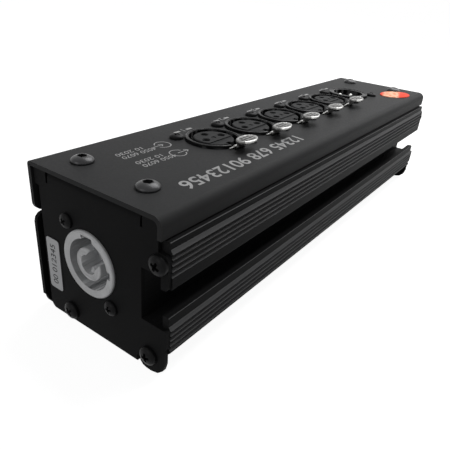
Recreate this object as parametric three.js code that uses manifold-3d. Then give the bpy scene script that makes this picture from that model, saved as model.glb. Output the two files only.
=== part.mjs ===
// A truss-mounted DMX splitter: a folded sheet case with a slotted mounting rail along one side,
// six XLR sockets in the cover and a twist-lock mains socket in each end.
// Millimetres. X runs along the case, the rail is on the -Y side, Z is up and the base stands on Z = 0.

import * as THREE from 'three';
import { mergeVertices } from 'three/addons/utils/BufferGeometryUtils.js';
import Module from 'manifold-3d';

const wasm = await Module();
wasm.setup();

// Case
const bodyLength = 236;
const bodyWidth = 57;
const bodyHeight = 55;
const sheet = 1.5;
const coverOverhang = 0.8;
const coverBendRadius = 3.2;
const trayBendRadius = 3.4;
const endBendRadius = 2.4;
const flangeCornerRadius = 3.2;
const coverLeftSkirt = 17.6;
const coverRightSkirt = 6.8;
const seamGap = 0.8;
const fit = 0.3;
const overrun = 1;

// End walls, measured from the middle plane of the case and from the base
const wallLeftInset = 3.7;
const wallShoulderDrop = 7.6;
const tabMargin = 0.8;
const tabSideInset = 6.7;
const slitWidth = 0.8;
const slitDepth = 4.2;
const reliefWidth = 1.1;
const reliefHeight = 3.2;
const floorReach = 1.7;
const lobeReach = 1;
const lobeRadius = 5.4;
const lobeInnerRadius = 3;
const lobeHeight = 12;
const lobeSetBack = 0.9;
const earSetBack = 0.3;
const earCornerRadius = 1.4;
const earHookWidth = 2.6;

// Mounting rail
const railProud = 2.2;
const slotHeight = 18.2;
const slotMouth = 10.2;
const slotDepth = 10.4;
const lipThickness = 2.4;
const railStep = 0.9;
const railShoulder = 1.2;
const railTopDrop = 7.4;
const railTopBand = 2.2;
const upperLipBand = 4.1;
const lowerLipBand = 3.2;
const ribPitch = 1.9;
const ribCrest = 0.5;
const ribGrooveDepth = 0.5;
const ribGrooveRise = 0.2;
const ribGrooveFall = 0.9;
const ribFoot = 9.9;
const railBottom = 8.9;
const railBackWall = 2;
const railWall = 1.9;
const railUprightGap = 0.4;
const railBossWidth = 6.4;
const railBossBottom = 3.2;
const railChamberWidth = 2.6;
const railChamberGap = 1.6;
const railCornerRadius = 0.5;

// Row of signal sockets, on the cover
const socketCount = 6;
const socketPitch = 25.4;
const rowAlongShare = 0.0792;
const rowOffset = 2;
const rimRadius = 10.8;
const rimHeight = 1.3;
const rimEdge = 0.4;
const wellRadius = 9.6;
const wellDepth = 13;
const socketRadius = 11.4;
const socketDepth = 15;
const flangeSideMargin = 0.2;
const flangeEndMargin = 0.7;
const flangeThickness = 2.2;
const flangeRadius = 2.4;
const insertRadius = 7.8;
const insertProud = 1;
const insertEdge = 0.4;
const contactCircle = 4.6;
const contactRadius = 1.35;
const contactDepth = 9;
const maleCupRadius = 8.1;
const maleBaseThickness = 2.4;
const pinRadius = 1.2;
const pinTipDepth = 0.2;
const pinTipLength = 1;

// Latch lever of each female socket, in the socket's own frame
const leverThickness = 0.9;
const leverWidth = 5;
const leverSeat = 10.9;
const leverPivotDepth = 10.1;
const leverRollRadius = 0.8;
const leverBendHeight = 0.9;
const leverGap = 0.3;
const noseDepth = 3;
const noseReach = 1.5;
const noseHeight = 1.8;
const noseWidth = 3;
const padWidth = 10.8;
const padLength = 6.4;
const padThickness = 1.4;
const padTop = 4.6;
const padCentre = 14.9;
const padEdge = 0.4;
const latchHouseWidth = 9.2;
const latchHouseReach = 14;
const latchHouseBottom = 12.6;
const pocketReach = 12.8;

// Twist-lock mains sockets
const powerOffset = 2.2;
const powerRise = 0.1;
const powerRadius = 11.3;
const powerProud = 0.9;
const powerEdge = 0.7;
const powerBoreRadius = 8.8;
const powerBoreDepth = 12;
const powerBodyRadius = 10.6;
const powerBodyDepth = 24;
const powerTailDepth = 30;
const powerTailWidth = 19;
const powerTailHeight = 11;
const powerFlangeMargin = 0.9;
const powerFlangeThickness = 2.2;
const powerScrewAcross = 9.5;
const powerScrewUp = 12;
const keywayWidth = 5;
const keywayDepth = 1.2;
const sideKeywayWidth = 2.6;
const coreRadius = 5.7;
const coreProud = 0.6;
const coreBore = 3.3;
const coreBoreDepth = 7;
const coreChannel = 4.6;
const coreChannelDepth = 5;
const coreChannelAngle = 38;

// Screws
const socketScrewAcross = 9.3;
const socketScrewAlong = 10.4;
const socketScrew = { head: 2.7, height: 1.7, shank: 1.25, length: 4.6 };
const coverScrew = { head: 3.8, height: 2.2, shank: 1.75, length: 7 };
const railScrew = { head: 3.2, height: 2.2, shank: 1.6, length: 9 };
const powerScrew = { head: 2.6, height: 1.8, shank: 1.25, length: 4.6 };
const coverScrewInset = 11.4;
const coverScrewLeftInset = 4;
const coverScrewRightInset = 7.4;
const upperRailScrewInset = 3.4;
const upperRailScrewShare = 0.34;
const upperEarShare = 0.64;
const lowerRailScrewInset = 7.1;
const lowerRailScrewUp = 6.2;
const earthScrew = { across: 12.6, up: 4.6 };
const earthNutWidth = 6;
const earthNutLength = 8;
const hexAcross = 2.5;
const hexSides = 6;
const recessWidth = 0.8;
const recessLengthShare = 1.15;
const recessDepthShare = 0.5;
const headShoulderShare = 0.36;
const headCrownShare = 0.62;
const headCrownHeightShare = 0.88;

// Boards inside
const boardThickness = 1.6;
const boardSideRoom = 18;
const boardMargin = 1.4;
const supplyLength = 112;
const supplySideRoom = 21;
const supplyOffset = 2;
const postHeight = 5;
const postRadius = 2.6;
const postInset = 4;
const transformerAlong = -14;
const transformerLength = 26;
const transformerWidth = 22;
const transformerHeight = 17;
const bobbinLength = 20;
const bobbinHeight = 12;
const bobbinWidth = 28;
const capRadius = 6.2;
const capHeight = 15;
const heatSinkLength = 30;
const heatSinkThickness = 2;
const heatSinkHeight = 14;
const terminalLength = 9;
const terminalWidth = 20;
const terminalHeight = 10;
const chipLength = 13;
const chipWidth = 8;
const chipHeight = 3.4;
const isolatorLength = 12;
const isolatorWidth = 18;
const isolatorHeight = 6;
const leadRadius = 1.1;
const leadSpacing = 2.8;
const leadWallGap = 1.2;
const leadRise = 3;
const leadRun = 14;
const leadTailGap = 0.3;

// Plates
const labelWidth = 6.6;
const labelHeight = 20;
const labelAcrossShare = 0.611;
const labelUp = 19.7;
const labelThickness = 0.3;
const labelRadius = 1.1;
const badgeLength = 15;
const badgeWidth = 17.6;
const badgeThickness = 0.4;
const badgeAlongShare = 0.418;
const badgeSideInset = 11.3;

// Facets
const roundSteps = 20;
const ovalSteps = 16;
const holeSteps = 12;
const screwSteps = 8;
const cornerSteps = 3;
const leadSides = 6;
const leadSteps = 30;

// Finishes
const coverPaint = new THREE.MeshStandardMaterial({ color: 0x3b3d3f, roughness: 0.5, metalness: 0.2 });
const trayPaint = new THREE.MeshStandardMaterial({ color: 0x1c1d1f, roughness: 0.55, metalness: 0.2 });
const blackAnodised = new THREE.MeshStandardMaterial({ color: 0x2a2b2d, roughness: 0.35, metalness: 0.7 });
const blackPlastic = new THREE.MeshStandardMaterial({ color: 0x141416, roughness: 0.5, metalness: 0 });
const insertPlastic = new THREE.MeshStandardMaterial({ color: 0x2c2d30, roughness: 0.55, metalness: 0 });
const nickel = new THREE.MeshStandardMaterial({ color: 0xc9cbc9, roughness: 0.25, metalness: 1 });
const blackSteel = new THREE.MeshStandardMaterial({ color: 0x18181a, roughness: 0.4, metalness: 0.8 });
const greyPlastic = new THREE.MeshStandardMaterial({ color: 0xa9abad, roughness: 0.5, metalness: 0 });
const bluePlastic = new THREE.MeshStandardMaterial({ color: 0x2c6fa8, roughness: 0.5, metalness: 0 });
const silverPlate = new THREE.MeshStandardMaterial({ color: 0xb8babb, roughness: 0.35, metalness: 0.8 });
const redEnamel = new THREE.MeshStandardMaterial({ color: 0xc4362c, roughness: 0.35, metalness: 0 });
const boardGreen = new THREE.MeshStandardMaterial({ color: 0x1f5a3a, roughness: 0.6, metalness: 0 });
const leadColours = [0x7a4a22, 0x2b5f9e, 0x6f9a2f];

// Sizes that follow from the ones above
const halfWidth = bodyWidth / 2;
const trayLength = bodyLength - 2 * coverOverhang;
const endFace = trayLength / 2;
const innerFace = endFace - sheet;
const ceiling = bodyHeight - sheet;
const coverInside = halfWidth - sheet - fit;
const tabHalfWidth = coverInside - tabSideInset;
const ribPlane = -(halfWidth + railProud);
const slotCentre = bodyHeight / 2;
const slotBottom = slotCentre - slotHeight / 2;
const slotTop = slotCentre + slotHeight / 2;
const slotBack = ribPlane + slotDepth;
const railBack = slotBack + railBackWall;
const railLength = trayLength - 2 * sheet;
const railTop = bodyHeight - railTopDrop;
const skirtRoom = bodyHeight - coverRightSkirt - slotTop;
const upperEarTop = slotTop + upperEarShare * skirtRoom;
const upperRailScrewUp = slotTop + upperRailScrewShare * skirtRoom;
const upperRailScrew = { across: ribPlane + upperRailScrewInset, up: upperRailScrewUp };
const lowerRailScrew = { across: ribPlane + lowerRailScrewInset, up: lowerRailScrewUp };
const lobeInner = slotBack + lobeReach;
const powerHeight = bodyHeight / 2 + powerRise;
const wallLeft = halfWidth - wallLeftInset;
const labelRoom = wallLeft - powerOffset - powerRadius;
const labelAcross = powerOffset + powerRadius + labelAcrossShare * labelRoom;
const boardTop = bodyHeight - socketDepth;
const boardWidth = bodyWidth - boardSideRoom;
const supplyWidth = bodyWidth - supplySideRoom;
const tabReach = coverScrewInset + coverScrew.head - coverOverhang + tabMargin;
const flangeWidth = 2 * (socketScrewAcross + socketScrew.head + flangeSideMargin);
const flangeLength = 2 * (socketScrewAlong + socketScrew.head + flangeEndMargin);
const powerFlangeWidth = 2 * (powerScrewAcross + powerScrew.head + powerFlangeMargin);
const powerFlangeHeight = 2 * (powerScrewUp + powerScrew.head + powerFlangeMargin);

// Shared shapes

function holeFor(screw) {
  return screw.shank + fit;
}

function solid(geometry) {
  const bare = geometry.clone();
  bare.deleteAttribute('normal');
  bare.deleteAttribute('uv');
  const merged = mergeVertices(bare);
  return new wasm.Manifold(new wasm.Mesh({
    numProp: 3,
    vertProperties: new Float32Array(merged.attributes.position.array),
    triVerts: new Uint32Array(merged.index.array),
  }));
}

function geometryOf(manifold) {
  const mesh = manifold.getMesh();
  const geometry = new THREE.BufferGeometry();
  geometry.setAttribute('position', new THREE.BufferAttribute(new Float32Array(mesh.vertProperties), 3));
  geometry.setIndex(new THREE.BufferAttribute(new Uint32Array(mesh.triVerts), 1));
  geometry.computeVertexNormals();
  return geometry;
}

function named(name, shape, material) {
  const geometry = shape.isBufferGeometry ? shape : geometryOf(shape);
  const mesh = new THREE.Mesh(geometry, material);
  mesh.name = name;
  return mesh;
}

// A block between two corners
function block(low, high) {
  const size = high.map((value, axis) => value - low[axis]);
  const geometry = new THREE.BoxGeometry(size[0], size[1], size[2]);
  geometry.translate((low[0] + high[0]) / 2, (low[1] + high[1]) / 2, (low[2] + high[2]) / 2);
  return solid(geometry);
}

// A round bar from one height to another, standing on a point
function bar(radius, x, y, bottom, top, steps) {
  const geometry = new THREE.CylinderGeometry(radius, radius, top - bottom, steps);
  geometry.rotateX(Math.PI / 2);
  geometry.translate(x, y, (bottom + top) / 2);
  return solid(geometry);
}

// Turns a profile of radius and height round the upright axis
function turned(profile, steps) {
  const geometry = new THREE.LatheGeometry(profile.map(([r, z]) => new THREE.Vector2(r, z)), steps);
  geometry.rotateX(Math.PI / 2);
  return solid(geometry);
}

// Replaces each corner [u, v, radius] of a path by an arc
function filleted(corners, closed) {
  const points = [];
  const count = corners.length;
  corners.forEach(([u, v, radius = 0], index) => {
    const atEnd = !closed && (index === 0 || index === count - 1);
    const here = new THREE.Vector2(u, v);
    if (radius === 0 || atEnd) {
      points.push(here);
      return;
    }
    const before = corners[(index + count - 1) % count];
    const after = corners[(index + 1) % count];
    const arriving = new THREE.Vector2(u - before[0], v - before[1]).normalize();
    const leaving = new THREE.Vector2(after[0] - u, after[1] - v).normalize();
    const turn = Math.atan2(arriving.cross(leaving), arriving.dot(leaving));
    const start = here.clone().addScaledVector(arriving, -radius * Math.tan(Math.abs(turn) / 2));
    const side = new THREE.Vector2(-arriving.y, arriving.x).multiplyScalar(Math.sign(turn) * radius);
    const centre = start.clone().add(side);
    for (let step = 0; step <= cornerSteps; step += 1) {
      points.push(start.clone().rotateAround(centre, (turn * step) / cornerSteps));
    }
  });
  return points;
}

function outline(corners) {
  return new THREE.Shape(filleted(corners, true));
}

function extruded(shape, depth) {
  const curveSegments = holeSteps / 4;
  return new THREE.ExtrudeGeometry(shape, { depth, bevelEnabled: false, steps: 1, curveSegments });
}

const alongX = new THREE.Matrix4().makeBasis(
  new THREE.Vector3(0, 1, 0), new THREE.Vector3(0, 0, 1), new THREE.Vector3(1, 0, 0));
const alongY = new THREE.Matrix4().makeBasis(
  new THREE.Vector3(0, 0, 1), new THREE.Vector3(1, 0, 0), new THREE.Vector3(0, 1, 0));

// A section drawn in Y and Z, run along X between two places
function runAlongX(shape, from, to) {
  return solid(extruded(shape, to - from).applyMatrix4(alongX).translate(from, 0, 0));
}

// A section drawn in Z and X, run along Y between two places
function runAlongY(shape, from, to) {
  return solid(extruded(shape, to - from).applyMatrix4(alongY).translate(0, from, 0));
}

// A plate drawn in X and Y between two heights
function plate(shape, bottom, top) {
  return solid(extruded(shape, top - bottom).translate(0, 0, bottom));
}

// A strip of sheet folded along a path of outer corners; side is +1 where the inside lies to the left
function folded(path, outerRadius, side) {
  const directions = path.slice(1).map(([u, v], index) => {
    const from = path[index];
    return new THREE.Vector2(u - from[0], v - from[1]).normalize();
  });
  const inner = path.map(([u, v], index) => {
    const normals = [directions[index - 1], directions[index]].filter(Boolean);
    const shift = new THREE.Vector2(0, 0);
    normals.forEach((d) => shift.add(new THREE.Vector2(-d.y, d.x).multiplyScalar(side * sheet)));
    return [u + shift.x, v + shift.y, outerRadius - sheet];
  });
  const outer = path.map(([u, v]) => [u, v, outerRadius]);
  return new THREE.Shape([...filleted(outer, false), ...filleted(inner, false).reverse()]);
}

function rounded(width, height, radius) {
  return outline([
    [-width / 2, -height / 2, radius],
    [width / 2, -height / 2, radius],
    [width / 2, height / 2, radius],
    [-width / 2, height / 2, radius],
  ]);
}

function oval(length, width) {
  const shape = new THREE.Shape();
  shape.absellipse(0, 0, length / 2, width / 2, 0, 2 * Math.PI, false, 0);
  return new THREE.Shape(shape.getPoints(ovalSteps).slice(0, -1));
}

// Places of the signal sockets along the case, numbered from the mains outlet
const rowLength = (socketCount - 1) * socketPitch + flangeWidth;
const rowMiddle = rowAlongShare * (bodyLength - rowLength);
const socketPlaces = [];
for (let index = 0; index < socketCount; index += 1) {
  socketPlaces.push(rowMiddle + (index - (socketCount - 1) / 2) * socketPitch);
}
const femalePlaces = socketPlaces.slice(0, -1);
const malePlace = socketPlaces[socketPlaces.length - 1];
const socketScrewPlaces = [[-socketScrewAcross, socketScrewAlong], [socketScrewAcross, -socketScrewAlong]];
const coverScrewLeft = tabHalfWidth - coverScrewLeftInset;
const coverScrewRight = coverScrewRightInset - tabHalfWidth;
const coverScrewPlaces = [-1, 1].flatMap((end) => [coverScrewLeft, coverScrewRight].map(
  (across) => [end * (bodyLength / 2 - coverScrewInset), across]));

// Cover: a folded lid with the socket openings

function makeCover() {
  const section = folded([
    [-halfWidth, bodyHeight - coverRightSkirt],
    [-halfWidth, bodyHeight],
    [halfWidth, bodyHeight],
    [halfWidth, bodyHeight - coverLeftSkirt],
  ], coverBendRadius, -1);
  const side = outline([
    [bodyHeight - coverLeftSkirt, -bodyLength / 2, flangeCornerRadius],
    [bodyHeight + overrun, -bodyLength / 2],
    [bodyHeight + overrun, bodyLength / 2],
    [bodyHeight - coverLeftSkirt, bodyLength / 2, flangeCornerRadius],
  ]);
  let cover = runAlongX(section, -bodyLength / 2, bodyLength / 2);
  cover = cover.intersect(runAlongY(side, -bodyWidth, bodyWidth));
  const low = ceiling - overrun;
  const high = bodyHeight + overrun;
  for (const place of socketPlaces) {
    cover = cover.subtract(bar(rimRadius + fit, place, rowOffset, low, high, roundSteps));
    for (const [x, y] of socketScrewPlaces) {
      cover = cover.subtract(bar(holeFor(socketScrew), place + x, rowOffset + y, low, high, screwSteps));
    }
  }
  for (const place of femalePlaces) {
    const half = leverWidth / 2 + 2 * leverGap;
    cover = cover.subtract(block(
      [place - half, rowOffset - pocketReach, low], [place + half, rowOffset, high]));
  }
  for (const [x, y] of coverScrewPlaces) {
    cover = cover.subtract(bar(holeFor(coverScrew), x, y, low, high, screwSteps));
  }
  return named('top_cover', cover, coverPaint);
}

// Tray: floor, left wall and the two end walls with their folded tabs and ears

function makeEndWall(end) {
  const shoulder = bodyHeight - wallShoulderDrop;
  const earEdge = ribPlane + earSetBack;
  const lobeEdge = ribPlane + lobeSetBack;
  const slitBottom = ceiling - slitDepth;
  const tabRight = -tabHalfWidth;
  const hookInner = earEdge + earHookWidth;
  const mouthTop = slotCentre + slotMouth / 2;
  const wall = outline([
    [wallLeft, reliefHeight],
    [wallLeft, shoulder],
    [coverInside, shoulder],
    [coverInside, ceiling, coverBendRadius - sheet],
    [tabHalfWidth + slitWidth, ceiling],
    [tabHalfWidth + slitWidth, slitBottom],
    [tabRight - slitWidth, slitBottom],
    [tabRight - slitWidth, ceiling],
    [-coverInside, ceiling, coverBendRadius - sheet],
    [-coverInside, upperEarTop],
    [earEdge, upperEarTop, earCornerRadius],
    [earEdge, mouthTop, earCornerRadius],
    [hookInner, mouthTop],
    [hookInner, slotTop],
    [slotBack, slotTop],
    [slotBack, slotBottom],
    [earEdge, slotBottom],
    [earEdge, lobeHeight],
    [lobeEdge, lobeHeight - (lobeSetBack - earSetBack)],
    [lobeEdge, 0, lobeRadius],
    [lobeInner, 0, lobeInnerRadius],
    [lobeInner, reliefHeight],
  ]);
  const near = Math.min(end * endFace, end * innerFace);
  let part = runAlongX(wall, near, near + sheet);
  const foot = folded([
    [0, end * (endFace - endBendRadius - overrun)],
    [0, end * endFace],
    [reliefHeight + overrun, end * endFace],
  ], endBendRadius, -end);
  part = part.add(runAlongY(foot, lobeInner + reliefWidth, wallLeft));
  const tab = folded([
    [slitBottom - overrun, end * endFace],
    [ceiling, end * endFace],
    [ceiling, end * (endFace - tabReach)],
  ], endBendRadius, -end);
  part = part.add(runAlongY(tab, -tabHalfWidth, tabHalfWidth));
  return part;
}

function makeTray() {
  const wallEnd = bodyLength / 2;
  const wallTop = bodyHeight - coverLeftSkirt - seamGap;
  const section = folded([
    [slotBack - floorReach, 0],
    [halfWidth, 0],
    [halfWidth, wallTop],
  ], trayBendRadius, 1);
  const side = outline([
    [0, -endFace, endBendRadius],
    [trayBendRadius, -endFace],
    [trayBendRadius + coverOverhang, -wallEnd],
    [wallTop, -wallEnd, flangeCornerRadius],
    [wallTop, wallEnd, flangeCornerRadius],
    [trayBendRadius + coverOverhang, wallEnd],
    [trayBendRadius, endFace],
    [0, endFace, endBendRadius],
  ]);
  let tray = runAlongX(section, -wallEnd, wallEnd).intersect(runAlongY(side, -bodyWidth, bodyWidth));
  tray = tray.subtract(block(
    [-bodyLength, -bodyWidth, -overrun],
    [-endFace + endBendRadius + overrun / 2, lobeInner + reliefWidth, sheet + overrun]));
  tray = tray.subtract(block(
    [endFace - endBendRadius - overrun / 2, -bodyWidth, -overrun],
    [bodyLength, lobeInner + reliefWidth, sheet + overrun]));
  for (const end of [-1, 1]) {
    tray = tray.add(makeEndWall(end));
    const nutFrom = Math.min(end * innerFace, end * (innerFace - earthNutLength));
    const nutTop = earthScrew.up + earthNutWidth / 2;
    tray = tray.add(block(
      [nutFrom, earthScrew.across - earthNutWidth / 2, sheet / 2],
      [nutFrom + earthNutLength, earthScrew.across + earthNutWidth / 2, nutTop]));
  }
  for (const [x, y] of supplyPosts()) {
    tray = tray.add(bar(postRadius, x, y, sheet / 2, sheet + postHeight, screwSteps));
  }
  const wallCuts = [];
  for (const end of [-1, 1]) {
    const bore = (radius, across, up, steps, depth) => {
      const rod = bar(radius, 0, 0, -depth, overrun, steps).rotate([0, end * 90, 0]);
      wallCuts.push(rod.translate([end * endFace, across, up]));
    };
    const through = sheet + overrun;
    bore(powerRadius + fit, powerOffset, powerHeight, roundSteps, through);
    for (const up of [-1, 1]) {
      const across = powerOffset - end * up * powerScrewAcross;
      bore(holeFor(powerScrew), across, powerHeight + up * powerScrewUp, screwSteps, through);
    }
    bore(holeFor(railScrew), upperRailScrew.across, upperRailScrew.up, screwSteps, through);
    bore(holeFor(railScrew), lowerRailScrew.across, lowerRailScrew.up, screwSteps, through);
    bore(holeFor(railScrew), earthScrew.across, earthScrew.up, screwSteps, railScrew.length + overrun);
  }
  for (const cut of wallCuts) {
    tray = tray.subtract(cut);
  }
  for (const [x, y] of coverScrewPlaces) {
    tray = tray.subtract(bar(holeFor(coverScrew), x, y, ceiling - sheet - overrun, bodyHeight, screwSteps));
  }
  return named('chassis_tray', tray, trayPaint);
}

function supplyPosts() {
  const places = [];
  for (const x of [-1, 1]) {
    for (const y of [-1, 1]) {
      places.push([
        x * (supplyLength / 2 - postInset),
        supplyOffset + y * (supplyWidth / 2 - postInset),
      ]);
    }
  }
  return places;
}

// Rail: an extruded section with a T-slot between two ribbed lips

// Grooves across one ribbed band, going down from its top, each with a steep upper side
function ribCorners(top, bottom) {
  const corners = [];
  const count = Math.round((top - bottom) / ribPitch);
  for (let rib = 0; rib < count; rib += 1) {
    const deepest = top - ribCrest - rib * ribPitch;
    corners.push([ribPlane, deepest + ribGrooveRise]);
    corners.push([ribPlane + ribGrooveDepth, deepest]);
    corners.push([ribPlane, deepest - ribGrooveFall]);
  }
  return corners;
}

function makeRail() {
  const stepPlane = ribPlane + railStep;
  const lipInside = stepPlane + lipThickness;
  const mouthTop = slotCentre + slotMouth / 2;
  const mouthBottom = slotCentre - slotMouth / 2;
  const upperRibTop = railTop - railTopBand - railShoulder;
  const lowerRibTop = mouthBottom - lowerLipBand - railShoulder;
  const uprightOuter = -coverInside;
  const uprightInner = uprightOuter + railBackWall;
  const uprightTop = ceiling - railUprightGap;
  const bossOuter = slotBack - railBossWidth;
  const shape = outline([
    [railBack, sheet],
    [railBack, railTop, railCornerRadius],
    [uprightInner, railTop],
    [uprightInner, uprightTop],
    [uprightOuter, uprightTop, coverBendRadius - sheet],
    [uprightOuter, railTop],
    [stepPlane, railTop, railCornerRadius],
    [stepPlane, upperRibTop + railShoulder],
    [ribPlane, upperRibTop],
    ...ribCorners(upperRibTop, mouthTop + upperLipBand),
    [ribPlane, mouthTop, railCornerRadius],
    [lipInside, mouthTop],
    [lipInside, slotTop],
    [slotBack, slotTop],
    [slotBack, slotBottom],
    [lipInside, slotBottom],
    [lipInside, mouthBottom],
    [stepPlane, mouthBottom, railCornerRadius],
    [stepPlane, lowerRibTop + railShoulder],
    [ribPlane, lowerRibTop],
    ...ribCorners(lowerRibTop, ribFoot),
    [ribPlane, ribFoot],
    [stepPlane, railBottom],
    [bossOuter, railBottom],
    [bossOuter, railBossBottom, railBossWidth / 2],
    [slotBack, railBossBottom],
    [slotBack, sheet],
  ]);
  const port = (across, up) => {
    const path = new THREE.Path();
    path.absarc(across, up, holeFor(railScrew), 0, 2 * Math.PI, true);
    return path;
  };
  const chamber = (left, right, bottom, top) => new THREE.Path(filleted([
    [left, bottom, railCornerRadius],
    [left, top, railCornerRadius],
    [right, top, railCornerRadius],
    [right, bottom, railCornerRadius],
  ], true));
  const chamberRight = slotBack - railWall / 2;
  const chamberLeft = chamberRight - railChamberWidth;
  const upperBottom = slotTop + railWall;
  const lowerTop = slotBottom - railWall;
  shape.holes.push(port(upperRailScrew.across, upperRailScrew.up));
  shape.holes.push(port(lowerRailScrew.across, lowerRailScrew.up));
  shape.holes.push(chamber(chamberLeft, chamberRight, upperBottom, railTop - railWall));
  shape.holes.push(chamber(
    chamberLeft - railChamberGap, chamberRight, railBottom + railWall, lowerTop));
  shape.holes.push(chamber(
    lipInside - railChamberGap, chamberLeft - 2 * railChamberGap, railBottom + railWall, lowerTop));
  return named('side_rail', runAlongX(shape, -railLength / 2, railLength / 2), blackAnodised);
}

// Signal sockets

function flangePlate() {
  return plate(rounded(flangeWidth, flangeLength, flangeRadius), -sheet - flangeThickness, -sheet);
}

function socketBody(cupRadius, cupDepth) {
  const body = turned([
    [0, -socketDepth],
    [socketRadius, -socketDepth],
    [socketRadius, -sheet],
    [rimRadius, -sheet],
    [rimRadius, rimHeight - rimEdge],
    [rimRadius - rimEdge, rimHeight],
    [cupRadius + rimEdge, rimHeight],
    [cupRadius, rimHeight - rimEdge],
    [cupRadius, -cupDepth],
    [0, -cupDepth],
  ], roundSteps);
  let socket = body.add(flangePlate().subtract(
    bar(cupRadius + rimEdge, 0, 0, -socketDepth, rimHeight, roundSteps)));
  for (const [x, y] of socketScrewPlaces) {
    socket = socket.subtract(bar(
      holeFor(socketScrew), x, y, -sheet - flangeThickness - overrun, overrun, screwSteps));
  }
  return socket;
}

function makeFemaleSocket(name) {
  const halfPocket = leverWidth / 2 + leverGap;
  const seatNear = leverSeat - leverRollRadius - leverGap;
  const seatFar = leverSeat + leverRollRadius + leverGap;
  const house = block(
    [-latchHouseWidth / 2, -latchHouseReach, -latchHouseBottom],
    [latchHouseWidth / 2, -wellRadius, -sheet]);
  let socket = socketBody(wellRadius, wellDepth).add(house);
  socket = socket.subtract(bar(wellRadius, 0, 0, -wellDepth, rimHeight, roundSteps));
  socket = socket.subtract(block(
    [-halfPocket, -pocketReach, -leverPivotDepth + leverRollRadius],
    [halfPocket, -wellRadius + fit, rimHeight + overrun]));
  socket = socket.subtract(block(
    [-halfPocket, -seatFar, -leverPivotDepth - leverRollRadius - leverGap],
    [halfPocket, -seatNear, -leverPivotDepth + leverRollRadius + overrun]));
  return named(name, socket, blackPlastic);
}

// The three contacts: two across the socket and one towards the left wall
const contactPlaces = [[-contactCircle, 0], [contactCircle, 0], [0, contactCircle]];

function makeInsert(name) {
  let insert = turned([
    [0, -wellDepth],
    [insertRadius, -wellDepth],
    [insertRadius, insertProud - insertEdge],
    [insertRadius - insertEdge, insertProud],
    [0, insertProud],
  ], roundSteps);
  for (const [x, y] of contactPlaces) {
    insert = insert.subtract(bar(
      contactRadius, x, y, insertProud - contactDepth, insertProud + overrun, screwSteps));
  }
  return named(name, insert, insertPlastic);
}

// Lever: a rolled foot, an upright leaf with its nose, and the raised press pad
function makeLatch(name) {
  const inner = -leverThickness / 2;
  const outer = leverThickness / 2;
  const pivot = -leverPivotDepth;
  const padUnder = padTop - padThickness;
  const padInner = padCentre - padLength / 2 - leverSeat;
  const leaf = new THREE.Shape(filleted([
    [pivot, -outer],
    [pivot, -inner],
    [-noseDepth - noseHeight, -inner],
    [-noseDepth, -inner + noseReach],
    [-noseDepth + leverThickness, -inner + noseReach],
    [-noseDepth + leverThickness, -inner],
    [leverBendHeight, -inner, leverThickness / 2],
    [padTop - padEdge, -padInner - padThickness],
    [padUnder, -padInner - 2 * padThickness],
    [leverBendHeight - leverThickness, -outer, leverThickness],
  ], true));
  const noseCut = (side) => {
    const near = side * noseWidth / 2;
    const far = side * leverWidth;
    return block(
      [Math.min(near, far), leverThickness / 2, -noseDepth - noseHeight - overrun],
      [Math.max(near, far), leverSeat, -noseDepth + noseHeight]);
  };
  const leafShape = extruded(leaf, leverWidth).translate(0, 0, -leverWidth / 2);
  const upright = new THREE.Matrix4().makeBasis(
    new THREE.Vector3(0, 0, 1), new THREE.Vector3(0, 1, 0), new THREE.Vector3(-1, 0, 0));
  let latch = solid(leafShape.applyMatrix4(upright));
  latch = latch.subtract(noseCut(-1)).subtract(noseCut(1));
  const roll = solid(new THREE.CylinderGeometry(leverRollRadius, leverRollRadius, leverWidth, screwSteps)
    .rotateZ(Math.PI / 2).translate(0, 0, pivot));
  const padShape = oval(padWidth, padLength);
  const padRim = oval(padWidth - 2 * padEdge, padLength - 2 * padEdge);
  const padAt = -(padCentre - leverSeat);
  const pad = plate(padShape, padUnder, padTop - padEdge).translate([0, padAt, 0]);
  const crown = plate(padRim, padTop - 2 * padEdge, padTop).translate([0, padAt, 0]);
  latch = latch.add(roll).add(pad).add(crown);
  return named(name, latch, nickel);
}

function makeMaleSocket() {
  return named('input_socket', socketBody(maleCupRadius, wellDepth), blackPlastic);
}

function makeMaleBase() {
  let base = turned([
    [0, -wellDepth],
    [maleCupRadius - fit, -wellDepth],
    [maleCupRadius - fit, maleBaseThickness - wellDepth],
    [0, maleBaseThickness - wellDepth],
  ], roundSteps);
  const cutTop = maleBaseThickness - wellDepth + overrun;
  for (const [x, y] of contactPlaces) {
    base = base.subtract(bar(pinRadius + fit / 2, x, y, -wellDepth - overrun, cutTop, screwSteps));
  }
  return named('input_pin_base', base, insertPlastic);
}

function makePin(name) {
  const pin = turned([
    [0, -wellDepth],
    [pinRadius, -wellDepth],
    [pinRadius, -pinTipDepth - pinTipLength],
    [pinRadius / 2, -pinTipDepth],
    [0, -pinTipDepth],
  ], screwSteps);
  return named(name, pin, nickel);
}

// Mains sockets, drawn with the panel face at Z = 0 and facing up

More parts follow.
